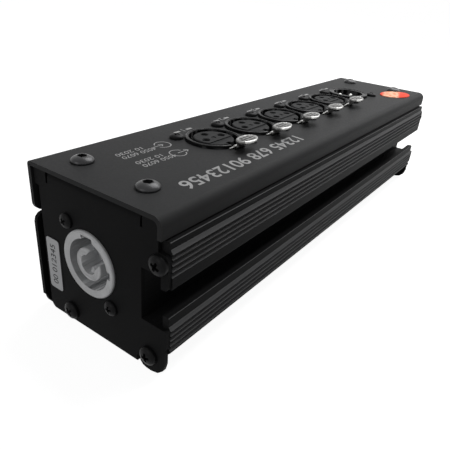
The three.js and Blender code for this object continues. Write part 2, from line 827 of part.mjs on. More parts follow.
function makePowerShell(name, material) {
  let shell = turned([
    [0, -powerBodyDepth],
    [powerBodyRadius, -powerBodyDepth],
    [powerBodyRadius, -sheet],
    [powerRadius, -sheet],
    [powerRadius, powerProud - powerEdge],
    [powerRadius - powerEdge, powerProud],
    [powerBoreRadius + powerEdge, powerProud],
    [powerBoreRadius, powerProud - powerEdge],
    [powerBoreRadius, -powerBoreDepth],
    [0, -powerBoreDepth],
  ], roundSteps);
  const flange = plate(
    rounded(powerFlangeWidth, powerFlangeHeight, flangeRadius), -sheet - powerFlangeThickness, -sheet);
  shell = shell.add(flange.subtract(
    bar(powerBoreRadius + powerEdge, 0, 0, -powerBodyDepth, powerProud, roundSteps)));
  shell = shell.add(block(
    [-powerTailWidth / 2, -powerTailHeight / 2, -powerTailDepth],
    [powerTailWidth / 2, powerTailHeight / 2, -powerBoreDepth - powerEdge]));
  const keyTop = powerBoreRadius + keywayDepth;
  shell = shell.subtract(block(
    [-keywayWidth / 2, 0, -powerBoreDepth], [keywayWidth / 2, keyTop, powerProud + overrun]));
  shell = shell.subtract(block(
    [0, -sideKeywayWidth / 2, -powerBoreDepth], [keyTop, sideKeywayWidth / 2, powerProud + overrun]));
  for (const side of [-1, 1]) {
    shell = shell.subtract(bar(
      holeFor(powerScrew), side * powerScrewAcross, -side * powerScrewUp,
      -sheet - powerFlangeThickness - overrun, overrun, screwSteps));
  }
  return named(name, shell, material);
}

function makePowerCore(name, material) {
  let core = turned([
    [0, -powerBoreDepth],
    [coreRadius, -powerBoreDepth],
    [coreRadius, coreProud - powerEdge / 2],
    [coreRadius - powerEdge / 2, coreProud],
    [0, coreProud],
  ], roundSteps);
  core = core.subtract(bar(coreBore, 0, 0, coreProud - coreBoreDepth, coreProud + overrun, holeSteps));
  const channel = block(
    [0, -coreChannel / 2, coreProud - coreChannelDepth],
    [coreRadius + overrun, coreChannel / 2, coreProud + overrun]).rotate([0, 0, coreChannelAngle]);
  core = core.subtract(channel);
  return named(name, core, material);
}

// Screws, with the underside of the head at Z = 0 and the head up

function panHead({ head, height, shank, length }) {
  return turned([
    [0, -length],
    [shank, -length],
    [shank, 0],
    [head, 0],
    [head, height * headShoulderShare],
    [head * headCrownShare, height * headCrownHeightShare],
    [0, height],
  ], screwSteps);
}

function crossScrew(size) {
  const reach = (size.head * recessLengthShare) / 2;
  const bottom = size.height * (1 - recessDepthShare);
  const high = size.height + overrun;
  return panHead(size)
    .subtract(block([-reach, -recessWidth / 2, bottom], [reach, recessWidth / 2, high]))
    .subtract(block([-recessWidth / 2, -reach, bottom], [recessWidth / 2, reach, high]));
}

function hexScrew(size) {
  const bottom = size.height * (1 - recessDepthShare);
  const radius = hexAcross / 2 / Math.cos(Math.PI / hexSides);
  const socket = bar(radius, 0, 0, bottom, size.height + overrun, hexSides);
  return panHead(size).subtract(socket);
}

// Boards inside the case

function makeSignalBoard() {
  const left = femalePlaces[0] - flangeWidth / 2 - boardMargin;
  const right = malePlace + flangeWidth / 2 + boardMargin;
  const bottom = boardTop - boardThickness;
  let board = block([left, -boardWidth / 2, bottom], [right, boardWidth / 2, boardTop]);
  for (const place of femalePlaces) {
    board = board.add(block(
      [place - chipLength / 2, -boardWidth / 2 + boardMargin, bottom - chipHeight],
      [place + chipLength / 2, -boardWidth / 2 + boardMargin + chipWidth, bottom + boardThickness / 2]));
    board = board.add(block(
      [place - isolatorLength / 2, boardWidth / 2 - boardMargin - isolatorWidth, bottom - isolatorHeight],
      [place + isolatorLength / 2, boardWidth / 2 - boardMargin, bottom + boardThickness / 2]));
  }
  const mesh = named('signal_board', board, boardGreen);
  mesh.position.y = rowOffset;
  return mesh;
}

function makePowerSupply() {
  const top = boardThickness;
  const base = boardThickness / 2;
  let supply = block([-supplyLength / 2, -supplyWidth / 2, 0], [supplyLength / 2, supplyWidth / 2, top]);
  const add = (x, y, length, width, height, from) => {
    supply = supply.add(block(
      [x - length / 2, y - width / 2, from], [x + length / 2, y + width / 2, top + height]));
  };
  add(transformerAlong, 0, transformerLength, transformerWidth, transformerHeight, base);
  add(transformerAlong, 0, bobbinLength, bobbinWidth, bobbinHeight, base);
  for (const side of [-1, 1]) {
    const terminalAt = side * (supplyLength / 2 - postInset * 2 - terminalLength / 2);
    add(terminalAt, 0, terminalLength, terminalWidth, terminalHeight, base);
  }
  const sinkAt = transformerAlong + transformerLength / 2 + heatSinkLength / 2 + capRadius;
  const sinkSide = supplyWidth / 2 - heatSinkThickness;
  add(sinkAt, sinkSide, heatSinkLength, heatSinkThickness, heatSinkHeight, base);
  for (const step of [-1, 1]) {
    const capAt = sinkAt + step * (capRadius + boardThickness);
    supply = supply.add(bar(capRadius, capAt, -capRadius / 2, base, top + capHeight, holeSteps));
  }
  const mesh = named('power_supply', supply, boardGreen);
  mesh.position.set(0, supplyOffset, sheet + postHeight);
  return mesh;
}

// A mains lead from the inlet's tail to the outlet's tail, along the left wall
function makeLead(name, index) {
  const tail = endFace - powerTailDepth - leadTailGap;
  const tailY = powerOffset + (index - 1) * leadSpacing * 2;
  const wallY = halfWidth - sheet - leadWallGap - leadRadius;
  const low = sheet + leadRise + leadRadius + index * leadSpacing;
  const start = new THREE.Vector3(-tail, tailY, powerHeight);
  const bendFrom = new THREE.Vector3(-tail + leadRun, tailY, powerHeight);
  const bendTo = new THREE.Vector3(-tail + leadRun, wallY, low);
  const wallStart = new THREE.Vector3(-tail + 2 * leadRun, wallY, low);
  const mirrored = (point) => new THREE.Vector3(-point.x, point.y, point.z);
  const path = new THREE.CurvePath();
  path.add(new THREE.CubicBezierCurve3(start, bendFrom, bendTo, wallStart));
  path.add(new THREE.LineCurve3(wallStart, mirrored(wallStart)));
  path.add(new THREE.CubicBezierCurve3(
    mirrored(wallStart), mirrored(bendTo), mirrored(bendFrom), mirrored(start)));
  const section = new THREE.Shape();
  section.absarc(0, 0, leadRadius, 0, 2 * Math.PI, false);
  const ring = new THREE.Shape(section.getPoints(leadSides / 2).slice(0, -1));
  const settings = { extrudePath: path, steps: leadSteps, bevelEnabled: false };
  const geometry = new THREE.ExtrudeGeometry(ring, settings);
  const colour = leadColours[index];
  const cover = new THREE.MeshStandardMaterial({ color: colour, roughness: 0.5, metalness: 0 });
  return named(name, solid(geometry), cover);
}

// Plates

function makeLabel() {
  const shape = plate(rounded(labelWidth, labelHeight, labelRadius), 0, labelThickness);
  const mesh = named('rating_plate', shape, silverPlate);
  mesh.position.set(-labelAcross, labelUp, 0);
  return mesh;
}

function makeBadge() {
  const mesh = named('badge', plate(oval(badgeLength, badgeWidth), 0, badgeThickness), redEnamel);
  const lastScrew = malePlace + socketScrewAcross;
  const along = lastScrew + badgeAlongShare * (bodyLength / 2 - lastScrew);
  mesh.position.set(along, badgeSideInset - halfWidth, bodyHeight);
  return mesh;
}

// Assembly

const splitter = new THREE.Group();
splitter.position.y = railProud / 2;
splitter.add(makeTray(), makeRail(), makeCover(), makeSignalBoard(), makePowerSupply());
splitter.add(makeBadge());
['live_lead', 'neutral_lead', 'earth_lead'].forEach((name, index) => splitter.add(makeLead(name, index)));

function addSocketScrews(seat, label) {
  socketScrewPlaces.forEach(([x, y], index) => {
    const screw = named(`${label}_screw_${index + 1}`, panHead(socketScrew), blackSteel);
    screw.position.set(x, y, 0);
    seat.add(screw);
  });
}

femalePlaces.forEach((place, index) => {
  const number = index + 1;
  const seat = new THREE.Group();
  seat.position.set(place, rowOffset, bodyHeight);
  seat.add(makeFemaleSocket(`output_socket_${number}`));
  seat.add(makeInsert(`output_insert_${number}`));
  const latch = makeLatch(`output_latch_${number}`);
  latch.position.y = -leverSeat;
  seat.add(latch);
  addSocketScrews(seat, `output_${number}`);
  splitter.add(seat);
});

const inputSeat = new THREE.Group();
inputSeat.position.set(malePlace, rowOffset, bodyHeight);
inputSeat.add(makeMaleSocket(), makeMaleBase());
contactPlaces.forEach(([x, y], index) => {
  const pin = makePin(`input_pin_${index + 1}`);
  pin.position.set(x, y, 0);
  inputSeat.add(pin);
});
addSocketScrews(inputSeat, 'input');
splitter.add(inputSeat);

coverScrewPlaces.forEach(([x, y], index) => {
  const screw = named(`cover_screw_${index + 1}`, hexScrew(coverScrew), blackSteel);
  screw.position.set(x, y, bodyHeight);
  splitter.add(screw);
});

// Each end's own frame: X to the right of someone facing it, Y up and Z out of the wall
for (const end of [-1, 1]) {
  const role = end < 0 ? 'outlet' : 'inlet';
  const plastic = end < 0 ? greyPlastic : bluePlastic;
  const face = new THREE.Group();
  face.position.x = end * endFace;
  face.rotation.setFromRotationMatrix(new THREE.Matrix4().makeBasis(
    new THREE.Vector3(0, end, 0), new THREE.Vector3(0, 0, 1), new THREE.Vector3(end, 0, 0)));
  const power = new THREE.Group();
  power.position.set(end * powerOffset, powerHeight, 0);
  power.add(makePowerShell(`power_${role}_shell`, plastic));
  power.add(makePowerCore(`power_${role}_core`, plastic));
  face.add(power);
  const addScrew = (name, shape, across, up) => {
    const screw = named(`${role}_${name}`, shape, blackSteel);
    screw.position.set(end * across, up, 0);
    face.add(screw);
  };
  for (const side of [-1, 1]) {
    const across = powerOffset - end * side * powerScrewAcross;
    addScrew(`screw_${side < 0 ? 1 : 2}`, panHead(powerScrew), across, powerHeight + side * powerScrewUp);
  }
  addScrew('end_upper_rail_screw', crossScrew(railScrew), upperRailScrew.across, upperRailScrew.up);
  addScrew('end_lower_rail_screw', crossScrew(railScrew), lowerRailScrew.across, lowerRailScrew.up);
  addScrew('end_earth_screw', crossScrew(railScrew), earthScrew.across, earthScrew.up);
  if (end < 0) {
    face.add(makeLabel());
  }
  splitter.add(face);
}

export default splitter;
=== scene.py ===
# Looks for a DMX splitter: folded steel case, slotted rail, signal sockets and mains sockets.
import math

import bmesh
import bpy
from mathutils import Matrix, Vector


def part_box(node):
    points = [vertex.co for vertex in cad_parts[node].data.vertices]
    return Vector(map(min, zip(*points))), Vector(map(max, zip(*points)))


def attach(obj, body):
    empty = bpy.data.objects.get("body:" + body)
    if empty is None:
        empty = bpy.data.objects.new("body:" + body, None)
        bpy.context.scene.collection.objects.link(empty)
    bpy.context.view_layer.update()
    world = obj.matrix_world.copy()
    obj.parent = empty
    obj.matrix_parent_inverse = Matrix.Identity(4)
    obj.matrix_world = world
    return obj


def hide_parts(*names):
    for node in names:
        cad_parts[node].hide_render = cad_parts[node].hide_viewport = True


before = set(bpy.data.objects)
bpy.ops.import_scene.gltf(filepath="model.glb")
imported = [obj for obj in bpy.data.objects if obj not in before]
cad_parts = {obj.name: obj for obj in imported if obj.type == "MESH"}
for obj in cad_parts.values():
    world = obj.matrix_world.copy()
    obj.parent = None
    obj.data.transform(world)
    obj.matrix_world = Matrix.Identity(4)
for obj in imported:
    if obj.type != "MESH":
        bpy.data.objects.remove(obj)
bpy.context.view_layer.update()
mm = 0.001
past = 1  # how far a cutter reaches past a face
near = 0.1  # how close to a face a point counts as lying on it
snug = 0.01  # the same, where faces lie close together
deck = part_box("top_cover")[1].z / mm  # height of the lid's top face
print("frame loaded with", len(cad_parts), "nodes")


# Modelling helpers. Sizes are in millimetres until they reach an operator.

def pickNone():
    bpy.ops.object.select_all(action="DESELECT")


def pick(piece):
    pickNone()
    piece.select_set(True)
    bpy.context.view_layer.objects.active = piece


def named(name):
    piece = bpy.context.object
    piece.name = name
    piece.data.name = name
    return piece


def settle(piece):
    pick(piece)
    bpy.ops.object.transform_apply(location=True, rotation=True, scale=True)


def editMesh(piece, kind="FACE"):
    pick(piece)
    bpy.ops.object.mode_set(mode="EDIT")
    bpy.ops.mesh.select_mode(type=kind)
    bpy.ops.mesh.select_all(action="DESELECT")
    return bmesh.from_edit_mesh(piece.data)


def chooseIn(piece, items, test):
    for item in items:
        if test(item):
            item.select_set(True)
    bmesh.update_edit_mesh(piece.data)


def leaveEdit():
    bpy.ops.object.mode_set(mode="OBJECT")


def faceOut(piece):
    editMesh(piece)
    bpy.ops.mesh.select_all(action="SELECT")
    bpy.ops.mesh.normals_make_consistent(inside=False)
    leaveEdit()


def block(name, low, high):
    pickNone()
    middle = [(a + b) / 2 * mm for a, b in zip(low, high)]
    bpy.ops.mesh.primitive_cube_add(size=1, location=middle)
    piece = named(name)
    piece.scale = [(b - a) * mm for a, b in zip(low, high)]
    settle(piece)
    return piece


def bar(name, radius, place, bottom, top, steps=48):
    pickNone()
    middle = (place[0] * mm, place[1] * mm, (bottom + top) / 2 * mm)
    bpy.ops.mesh.primitive_cylinder_add(
        vertices=steps, radius=radius * mm, depth=(top - bottom) * mm, location=middle)
    piece = named(name)
    settle(piece)
    return piece


def turned(name, rings, steps=72, hollow=False):
    # a ring is a radius and a height; the profile runs up the outside and then inwards
    radius, height = rings[0]
    pickNone()
    bpy.ops.mesh.primitive_circle_add(vertices=steps, radius=radius * mm, location=(0, 0, height * mm))
    piece = named(name)
    settle(piece)
    editMesh(piece, "VERT")
    bpy.ops.mesh.select_all(action="SELECT")
    for nextRadius, nextHeight in rings[1:]:
        rise = (nextHeight - height) * mm
        bpy.ops.mesh.extrude_region_move(TRANSFORM_OT_translate={"value": (0, 0, rise)})
        ratio = nextRadius / radius
        bpy.ops.transform.resize(value=(ratio, ratio, 1), center_override=(0, 0, nextHeight * mm))
        radius, height = nextRadius, nextHeight
    if hollow:
        bpy.ops.mesh.select_non_manifold()
        bpy.ops.mesh.bridge_edge_loops()
    else:
        bpy.ops.mesh.edge_face_add()
        bpy.ops.mesh.select_all(action="DESELECT")
        bpy.ops.mesh.select_non_manifold()
        bpy.ops.mesh.edge_face_add()
    leaveEdit()
    faceOut(piece)
    return piece


def roundEdges(piece, width, segments, test):
    mesh = editMesh(piece, "EDGE")
    chooseIn(piece, mesh.edges, test)
    bpy.ops.mesh.bevel(offset=width * mm, segments=segments, affect="EDGES")
    leaveEdit()


def roundWhere(piece, width, segments, test):
    # rounds the edges whose ends both pass the test
    roundEdges(piece, width, segments, lambda edge: all(test(vert.co / mm) for vert in edge.verts))


def isUpright(edge):
    along = edge.verts[1].co - edge.verts[0].co
    return abs(along.z) > 0.9 * along.length


def choosePoints(piece, test):
    # the test gets a point in millimetres
    mesh = editMesh(piece, "VERT")
    chooseIn(piece, mesh.verts, lambda vert: test(vert.co / mm))


def shift(piece, move, test):
    choosePoints(piece, test)
    bpy.ops.transform.translate(value=[value * mm for value in move])
    leaveEdit()


def narrow(piece, ratio, centre, test):
    choosePoints(piece, test)
    bpy.ops.transform.resize(value=ratio, center_override=[value * mm for value in centre])
    leaveEdit()


def applyTool(piece, name, kind, **values):
    pick(piece)
    tool = piece.modifiers.new(name, kind)
    for key, value in values.items():
        setattr(tool, key, value)
    bpy.ops.object.modifier_apply(modifier=tool.name)


def thicken(piece, thickness, offset):
    applyTool(piece, "sheet", "SOLIDIFY", thickness=thickness * mm, offset=offset, use_even_offset=True)


def combine(piece, other, how):
    applyTool(piece, "shape", "BOOLEAN", operation=how, object=other, solver="EXACT")
    bpy.data.objects.remove(other)


def join(piece, *others):
    for other in others:
        combine(piece, other, "UNION")


def cut(piece, *others):
    for other in others:
        combine(piece, other, "DIFFERENCE")


def smooth(piece, sharp=40):
    pick(piece)
    bpy.ops.object.shade_smooth_by_angle(angle=math.radians(sharp))


def soften(piece, width, segments=2, sharp=34):
    applyTool(piece, "soft edges", "BEVEL", width=width * mm, segments=segments, limit_method="ANGLE",
              angle_limit=math.radians(sharp), miter_outer="MITER_ARC")
    smooth(piece, sharp + 4)
    applyTool(piece, "flat faces", "WEIGHTED_NORMAL", keep_sharp=True)


def fineCopy(node, name):
    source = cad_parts[node]
    piece = bpy.data.objects.new(name, source.data.copy())
    piece.data.name = name
    bpy.context.collection.objects.link(piece)
    pick(piece)
    bpy.ops.mesh.customdata_custom_splitnormals_clear()
    editMesh(piece, "VERT")
    bpy.ops.mesh.select_all(action="SELECT")
    bpy.ops.mesh.remove_doubles(threshold=snug * mm)
    bpy.ops.mesh.dissolve_limited(angle_limit=math.radians(1.5))
    leaveEdit()
    return piece


def put(piece, place, turn=0):
    piece.location = [value * mm for value in place]
    piece.rotation_euler = (0, 0, math.radians(turn))
    settle(piece)
    return piece


def copyTo(piece, name, place, turn=0):
    other = piece.copy()
    other.data = piece.data.copy()
    other.name = name
    other.data.name = name
    bpy.context.collection.objects.link(other)
    return put(other, place, turn)


def faceEnd(piece, end, across, up):
    # turns a piece drawn face up to face out of the end wall
    out = Matrix(((0, 0, end), (end, 0, 0), (0, 1, 0))).to_4x4()
    out.translation = (endFace(end), across * mm, up * mm)
    piece.matrix_world = out
    settle(piece)
    return piece


def endFace(end):
    # the rating plate's back lies on the near end wall, and the far wall mirrors it
    return -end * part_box("rating_plate")[1].x


def middleOf(node):
    low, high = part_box(node)
    return (low + high) / 2 / mm


def dress(piece, finish):
    piece.data.materials.clear()
    piece.data.materials.append(finish)


def seat(piece, body, slot, finish, *nodes):
    dress(piece, finish)
    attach(piece, body)
    if nodes:
        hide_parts(*nodes)
    return piece


def paintFaces(piece, finish, test):
    # a second finish on part of a piece
    piece.data.materials.append(finish)
    for face in piece.data.polygons:
        if test(face):
            face.material_index = len(piece.data.materials) - 1


# Finishes

def newFinish(name, colour, roughness, metallic=0.0, specular=0.5):
    finish = bpy.data.materials.new(name)
    finish.use_nodes = True
    shader = finish.node_tree.nodes["Principled BSDF"]
    shader.inputs["Base Color"].default_value = (*colour, 1)
    shader.inputs["Roughness"].default_value = roughness
    shader.inputs["Metallic"].default_value = metallic
    shader.inputs["Specular IOR Level"].default_value = specular
    return finish, shader


def addNode(finish, kind, **values):
    node = finish.node_tree.nodes.new(kind)
    for key, value in values.items():
        setattr(node, key, value)
    return node


def noiseOf(finish, scale, stretch=(1, 1, 1), detail=3.0, rough=0.55):
    place = addNode(finish, "ShaderNodeTexCoord")
    mapping = addNode(finish, "ShaderNodeMapping")
    mapping.inputs["Scale"].default_value = stretch
    noise = addNode(finish, "ShaderNodeTexNoise")
    noise.inputs["Scale"].default_value = scale
    noise.inputs["Detail"].default_value = detail
    noise.inputs["Roughness"].default_value = rough
    links = finish.node_tree.links
    links.new(place.outputs["Object"], mapping.inputs["Vector"])
    links.new(mapping.outputs["Vector"], noise.inputs["Vector"])
    return noise.outputs["Fac"]


def rangeOf(finish, source, low, high, fromLow=0.3, fromHigh=0.7):
    spread = addNode(finish, "ShaderNodeMapRange")
    spread.inputs["From Min"].default_value = fromLow
    spread.inputs["From Max"].default_value = fromHigh
    spread.inputs["To Min"].default_value = low
    spread.inputs["To Max"].default_value = high
    finish.node_tree.links.new(source, spread.inputs["Value"])
    return spread.outputs["Result"]


def mixColours(finish, factor, first, second):
    mix = addNode(finish, "ShaderNodeMix", data_type="RGBA")
    links = finish.node_tree.links
    for socket, value in ((mix.inputs[0], factor), (mix.inputs[6], first), (mix.inputs[7], second)):
        if isinstance(value, bpy.types.NodeSocket):
            links.new(value, socket)
        else:
            socket.default_value = (*value, 1)
    return mix.outputs[2]


def bumpOf(finish, shader, source, depth, strength):
    bump = addNode(finish, "ShaderNodeBump")
    bump.inputs["Strength"].default_value = strength
    bump.inputs["Distance"].default_value = depth * mm
    links = finish.node_tree.links
    links.new(source, bump.inputs["Height"])
    if shader.inputs["Normal"].is_linked:
        links.new(shader.inputs["Normal"].links[0].from_socket, bump.inputs["Normal"])
    links.new(bump.outputs["Normal"], shader.inputs["Normal"])


def shade(colour, share):
    return [min(1.0, value * share) for value in colour]


def mottle(finish, shader, colour, source, low, high, *spread):
    # the colour runs between two shares of itself
    factor = rangeOf(finish, source, 0.0, 1.0, *spread)
    blend = mixColours(finish, factor, shade(colour, low), shade(colour, high))
    finish.node_tree.links.new(blend, shader.inputs["Base Color"])


def dull(finish, shader, source, low, high):
    # the roughness runs between two values
    finish.node_tree.links.new(rangeOf(finish, source, low, high), shader.inputs["Roughness"])


def powderCoat(name, colour, roughness, specular):
    finish, shader = newFinish(name, colour, roughness, 0.0, specular)
    mottle(finish, shader, colour, noiseOf(finish, 38, detail=4.0), 0.93, 1.07)
    peel = noiseOf(finish, 1500, detail=2.0)
    dull(finish, shader, peel, roughness - 0.05, roughness + 0.06)
    bumpOf(finish, shader, peel, 0.02, 0.55)
    bumpOf(finish, shader, noiseOf(finish, 240, detail=1.0), 0.03, 0.25)
    return finish


def anodised(name, colour, roughness):
    finish, shader = newFinish(name, colour, roughness, 0.0, 0.012)
    drawn = noiseOf(finish, 1, (6, 2600, 2600))
    mottle(finish, shader, colour, drawn, 0.82, 1.2)
    dull(finish, shader, drawn, roughness - 0.06, roughness + 0.09)
    bumpOf(finish, shader, drawn, 0.012, 0.5)
    return finish


def moulded(name, colour, roughness, grain=900, depth=0.012, specular=0.5):
    finish, shader = newFinish(name, colour, roughness, 0.0, specular)
    mottle(finish, shader, colour, noiseOf(finish, 160, detail=4.0), 0.88, 1.1)
    texture = noiseOf(finish, grain)
    dull(finish, shader, texture, roughness - 0.07, roughness + 0.08)
    bumpOf(finish, shader, texture, depth, 0.5)
    return finish


def plated(name, colour, roughness, metallic=1.0):
    finish, shader = newFinish(name, colour, roughness, metallic)
    haze = noiseOf(finish, 420, detail=5.0)
    mottle(finish, shader, colour, haze, 0.84, 1.06)
    dull(finish, shader, haze, roughness - 0.06, roughness + 0.1)
    bumpOf(finish, shader, noiseOf(finish, 1300, (1, 0.35, 1), 2.0), 0.01, 0.4)
    return finish


def hatchedNickel(name, colour, roughness):
    finish, shader = newFinish(name, colour, roughness, 0.9)
    streaks = noiseOf(finish, 1, (2100, 480, 500), 2.0)
    mottle(finish, shader, colour, streaks, 0.6, 1.35, 0.36, 0.64)
    dull(finish, shader, noiseOf(finish, 700), roughness - 0.06, roughness + 0.12)
    bumpOf(finish, shader, streaks, 0.03, 0.6)
    return finish


def brushedPlate(name, colour, roughness):
    finish, shader = newFinish(name, colour, roughness, 0.55)
    brushed = noiseOf(finish, 1, (900, 2400, 90))
    mottle(finish, shader, colour, brushed, 0.86, 1.08)
    dull(finish, shader, brushed, roughness - 0.05, roughness + 0.08)
    bumpOf(finish, shader, brushed, 0.008, 0.4)
    return finish


def bandAcross(finish, centre, turn, width, soft):
    # 1 inside a straight band through a point, 0 outside it
    place = addNode(finish, "ShaderNodeTexCoord")
    mapping = addNode(finish, "ShaderNodeMapping", vector_type="TEXTURE")
    mapping.inputs["Location"].default_value = [value * mm for value in centre]
    mapping.inputs["Rotation"].default_value = (0, 0, math.radians(turn))
    split = addNode(finish, "ShaderNodeSeparateXYZ")
    size = addNode(finish, "ShaderNodeMath", operation="ABSOLUTE")
    links = finish.node_tree.links
    links.new(place.outputs["Object"], mapping.inputs["Vector"])
    links.new(mapping.outputs["Vector"], split.inputs["Vector"])
    links.new(split.outputs["X"], size.inputs[0])
    return rangeOf(finish, size.outputs["Value"], 1.0, 0.0, (width / 2 - soft) * mm, (width / 2 + soft) * mm)


def badgeResin(name, colours, band):
    finish, shader = newFinish(name, colours["red"], 0.4, 0.0, 0.02)
    stripe = bandAcross(finish, band["centre"], band["turn"], band["width"], band["soft"])
    cloud = rangeOf(finish, noiseOf(finish, 430, detail=4.0), 0.0, 1.0, 0.42, 0.62)
    mottled = mixColours(finish, cloud, colours["cream"], colours["orange"])
    blend = mixColours(finish, stripe, colours["red"], mottled)
    finish.node_tree.links.new(blend, shader.inputs["Base Color"])
    bumpOf(finish, shader, noiseOf(finish, 300), 0.02, 0.3)
    return finish


def solderMask(name, colour):
    finish, shader = newFinish(name, colour, 0.42)
    links = finish.node_tree.links
    place = addNode(finish, "ShaderNodeTexCoord")
    tracks = addNode(finish, "ShaderNodeTexBrick")
    tracks.inputs["Scale"].default_value = 160
    tracks.inputs["Mortar Size"].default_value = 0.035
    tracks.inputs["Color1"].default_value = (*colour, 1)
    tracks.inputs["Color2"].default_value = (*shade(colour, 0.8), 1)
    tracks.inputs["Mortar"].default_value = (*shade(colour, 1.9), 1)
    links.new(place.outputs["Object"], tracks.inputs["Vector"])
    links.new(tracks.outputs["Color"], shader.inputs["Base Color"])
    bumpOf(finish, shader, tracks.outputs["Fac"], 0.03, 0.4)
    return finish


def stripedSleeve(name, first, second):
    finish, shader = newFinish(name, first, 0.45)
    links = finish.node_tree.links
    stripes = addNode(finish, "ShaderNodeTexWave", bands_direction="X")
    stripes.inputs["Scale"].default_value = 60
    stripes.inputs["Distortion"].default_value = 1.5
    place = addNode(finish, "ShaderNodeTexCoord")
    links.new(place.outputs["Object"], stripes.inputs["Vector"])
    factor = rangeOf(finish, stripes.outputs["Fac"], 0.0, 1.0, 0.45, 0.55)
    links.new(mixColours(finish, factor, first, second), shader.inputs["Base Color"])
    bumpOf(finish, shader, noiseOf(finish, 700), 0.02, 0.4)
    return finish


coverPaint = powderCoat("cover paint", (0.033, 0.0333, 0.034), 0.5, 0.03)
trayPaint = powderCoat("tray paint", (0.014, 0.0141, 0.0145), 0.55, 0.015)
railFinish = anodised("black anodising", (0.017, 0.0172, 0.0177), 0.4)
# a lighter copy of the rail's anodising, put on its up-facing faces as a painted highlight
railHighlightFinish = anodised("anodising painted highlight", (0.115, 0.1156, 0.117), 0.36)
socketPlastic = moulded("socket black", (0.006, 0.006, 0.0065), 0.3, 700, 0.01, 0.12)
insertPlastic = moulded("insert black", (0.018, 0.0183, 0.019), 0.5, 800, 0.014, 0.04)
nickelPlate = plated("nickel plate", (0.45, 0.448, 0.436), 0.22)
# a darker copy of the nickel, put on the latch's neck and its faces turned to -Y as painted shade
nickelPaintedShade = plated("nickel painted shade", (0.09, 0.0895, 0.087), 0.34)
# darker hatched nickel for the pads, whose hatching is their own; the lighter nickel left on the rim's outer
# side is a painted highlight
padNickel = hatchedNickel("hatched nickel", (0.15, 0.149, 0.146), 0.36)
blackZinc = plated("black zinc", (0.028, 0.028, 0.0295), 0.3, 0.6)
blackSteel = moulded("blackened steel", (0.011, 0.011, 0.0115), 0.36, 900, 0.012, 0.06)
greyPlastic = moulded("grey plastic", (0.66, 0.665, 0.675), 0.32, 500, 0.016, 0.4)
bluePlastic = moulded("blue plastic", (0.03, 0.14, 0.4), 0.42, 500, 0.02)
plateSilver = brushedPlate("silver plate", (0.24, 0.243, 0.249), 0.4)
printInk = moulded("print ink", (0.36, 0.36, 0.36), 0.6, 1200, 0.01, 0.05)
darkInk = moulded("dark ink", (0.035, 0.035, 0.036), 0.6, 1200, 0.01, 0.05)
boardGreen = solderMask("solder mask", (0.015, 0.1, 0.05))
brownSleeve = moulded("brown sleeve", (0.2, 0.08, 0.03), 0.45)
blueSleeve = moulded("blue sleeve", (0.03, 0.12, 0.4), 0.45)
earthSleeve = stripedSleeve("earth sleeve", (0.1, 0.36, 0.04), (0.7, 0.6, 0.04))
badgeCentre = middleOf("badge")
badgeColours = {"red": (0.8, 0.07, 0.035), "orange": (0.9, 0.26, 0.14), "cream": (0.92, 0.6, 0.42)}
badgeBand = {"centre": badgeCentre + Vector((-1.4, 1.8, 0)), "turn": -74, "width": 8.6, "soft": 0.9}
badgeFinish = badgeResin("badge resin", badgeColours, badgeBand)
print("finishes made")


# Centres of the signal sockets, and their two screws seen from there

outputs = {number: middleOf(f"output_insert_{number}") for number in range(1, 6)}
inputPlace = middleOf("input_pin_base")
socketScrews = {"across": 9.3, "along": 10.4}


# Lid: one sheet folded down at both sides, with its openings

lid = {"sheet": 1.5, "bend": 3.2, "tightBend": 1.5, "shortSkirt": 6.8, "corner": 3.2, "rimHole": 11.1,
       "smallHole": 1.55, "bigHole": 2.05, "slotHalf": 3.1, "slotReach": 12.8, "edge": 0.16,
       "cutters": (-6, 3)}  # where the cutters of openings end, below and above the deck


def makeLid():
    low, high = (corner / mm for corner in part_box("top_cover"))
    piece = block("lid", low, high)
    mesh = editMesh(piece)
    chooseIn(piece, mesh.faces, lambda face: face.normal.z < -0.9 or abs(face.normal.x) > 0.9)
    bpy.ops.mesh.delete(type="FACE")
    leaveEdit()
    middle = (low.y + high.y) / 2
    rise = high.z - low.z - lid["shortSkirt"]
    shift(piece, (0, 0, rise), lambda spot: spot.z < high.z - near and spot.y < middle)
    for way, radius in ((-1, lid["bend"]), (1, lid["tightBend"])):
        roundWhere(piece, radius, 10, lambda spot: spot.z > high.z - near and way * (spot.y - middle) > 0)
    choosePoints(piece, lambda spot: spot.z < low.z + near)
    bpy.ops.mesh.bevel(offset=lid["corner"] * mm, segments=8, affect="VERTICES")
    leaveEdit()
    faceOut(piece)
    thicken(piece, lid["sheet"], -1)
    under, over = (deck + reach for reach in lid["cutters"])
    for place in [*outputs.values(), inputPlace]:
        cut(piece, bar("hole", lid["rimHole"], place, under, over, steps=72))
        for side in (-1, 1):
            spot = (place.x + side * socketScrews["across"], place.y - side * socketScrews["along"])
            cut(piece, bar("hole", lid["smallHole"], spot, under, over, steps=24))
    for place in outputs.values():
        cut(piece, block("slot", (place.x - lid["slotHalf"], place.y - lid["slotReach"], under),
                         (place.x + lid["slotHalf"], place.y, over)))
    for number in range(1, 5):
        cut(piece, bar("hole", lid["bigHole"], middleOf(f"cover_screw_{number}"), under, over, steps=24))
    soften(piece, lid["edge"])
    seat(piece, "case", "cover_paint", coverPaint, "top_cover")


makeLid()
print("lid made")


# Tray and rail keep the frame's shapes, with fine edges, tighter foot bends and deeper grooves; the rail's
# up-facing faces get a painted highlight

folded = {"edge": 0.22, "foot": (-16.9, 25.9), "footDepth": 3.5, "footEdge": 0.9, "footCorner": 2.6}
extruded = {"edge": 0.08, "highlightReach": 1.15, "highlightRise": 0.3}
ribs = {"lows": (10.9, 12.8, 14.7, 16.6, 37.1, 39, 40.9, 42.8), "face": -29.6, "mouth": 0.1, "depth": 0.95,
        "drop": 0.42, "floor": 0.3, "roof": 0.95, "lip": 1.12}


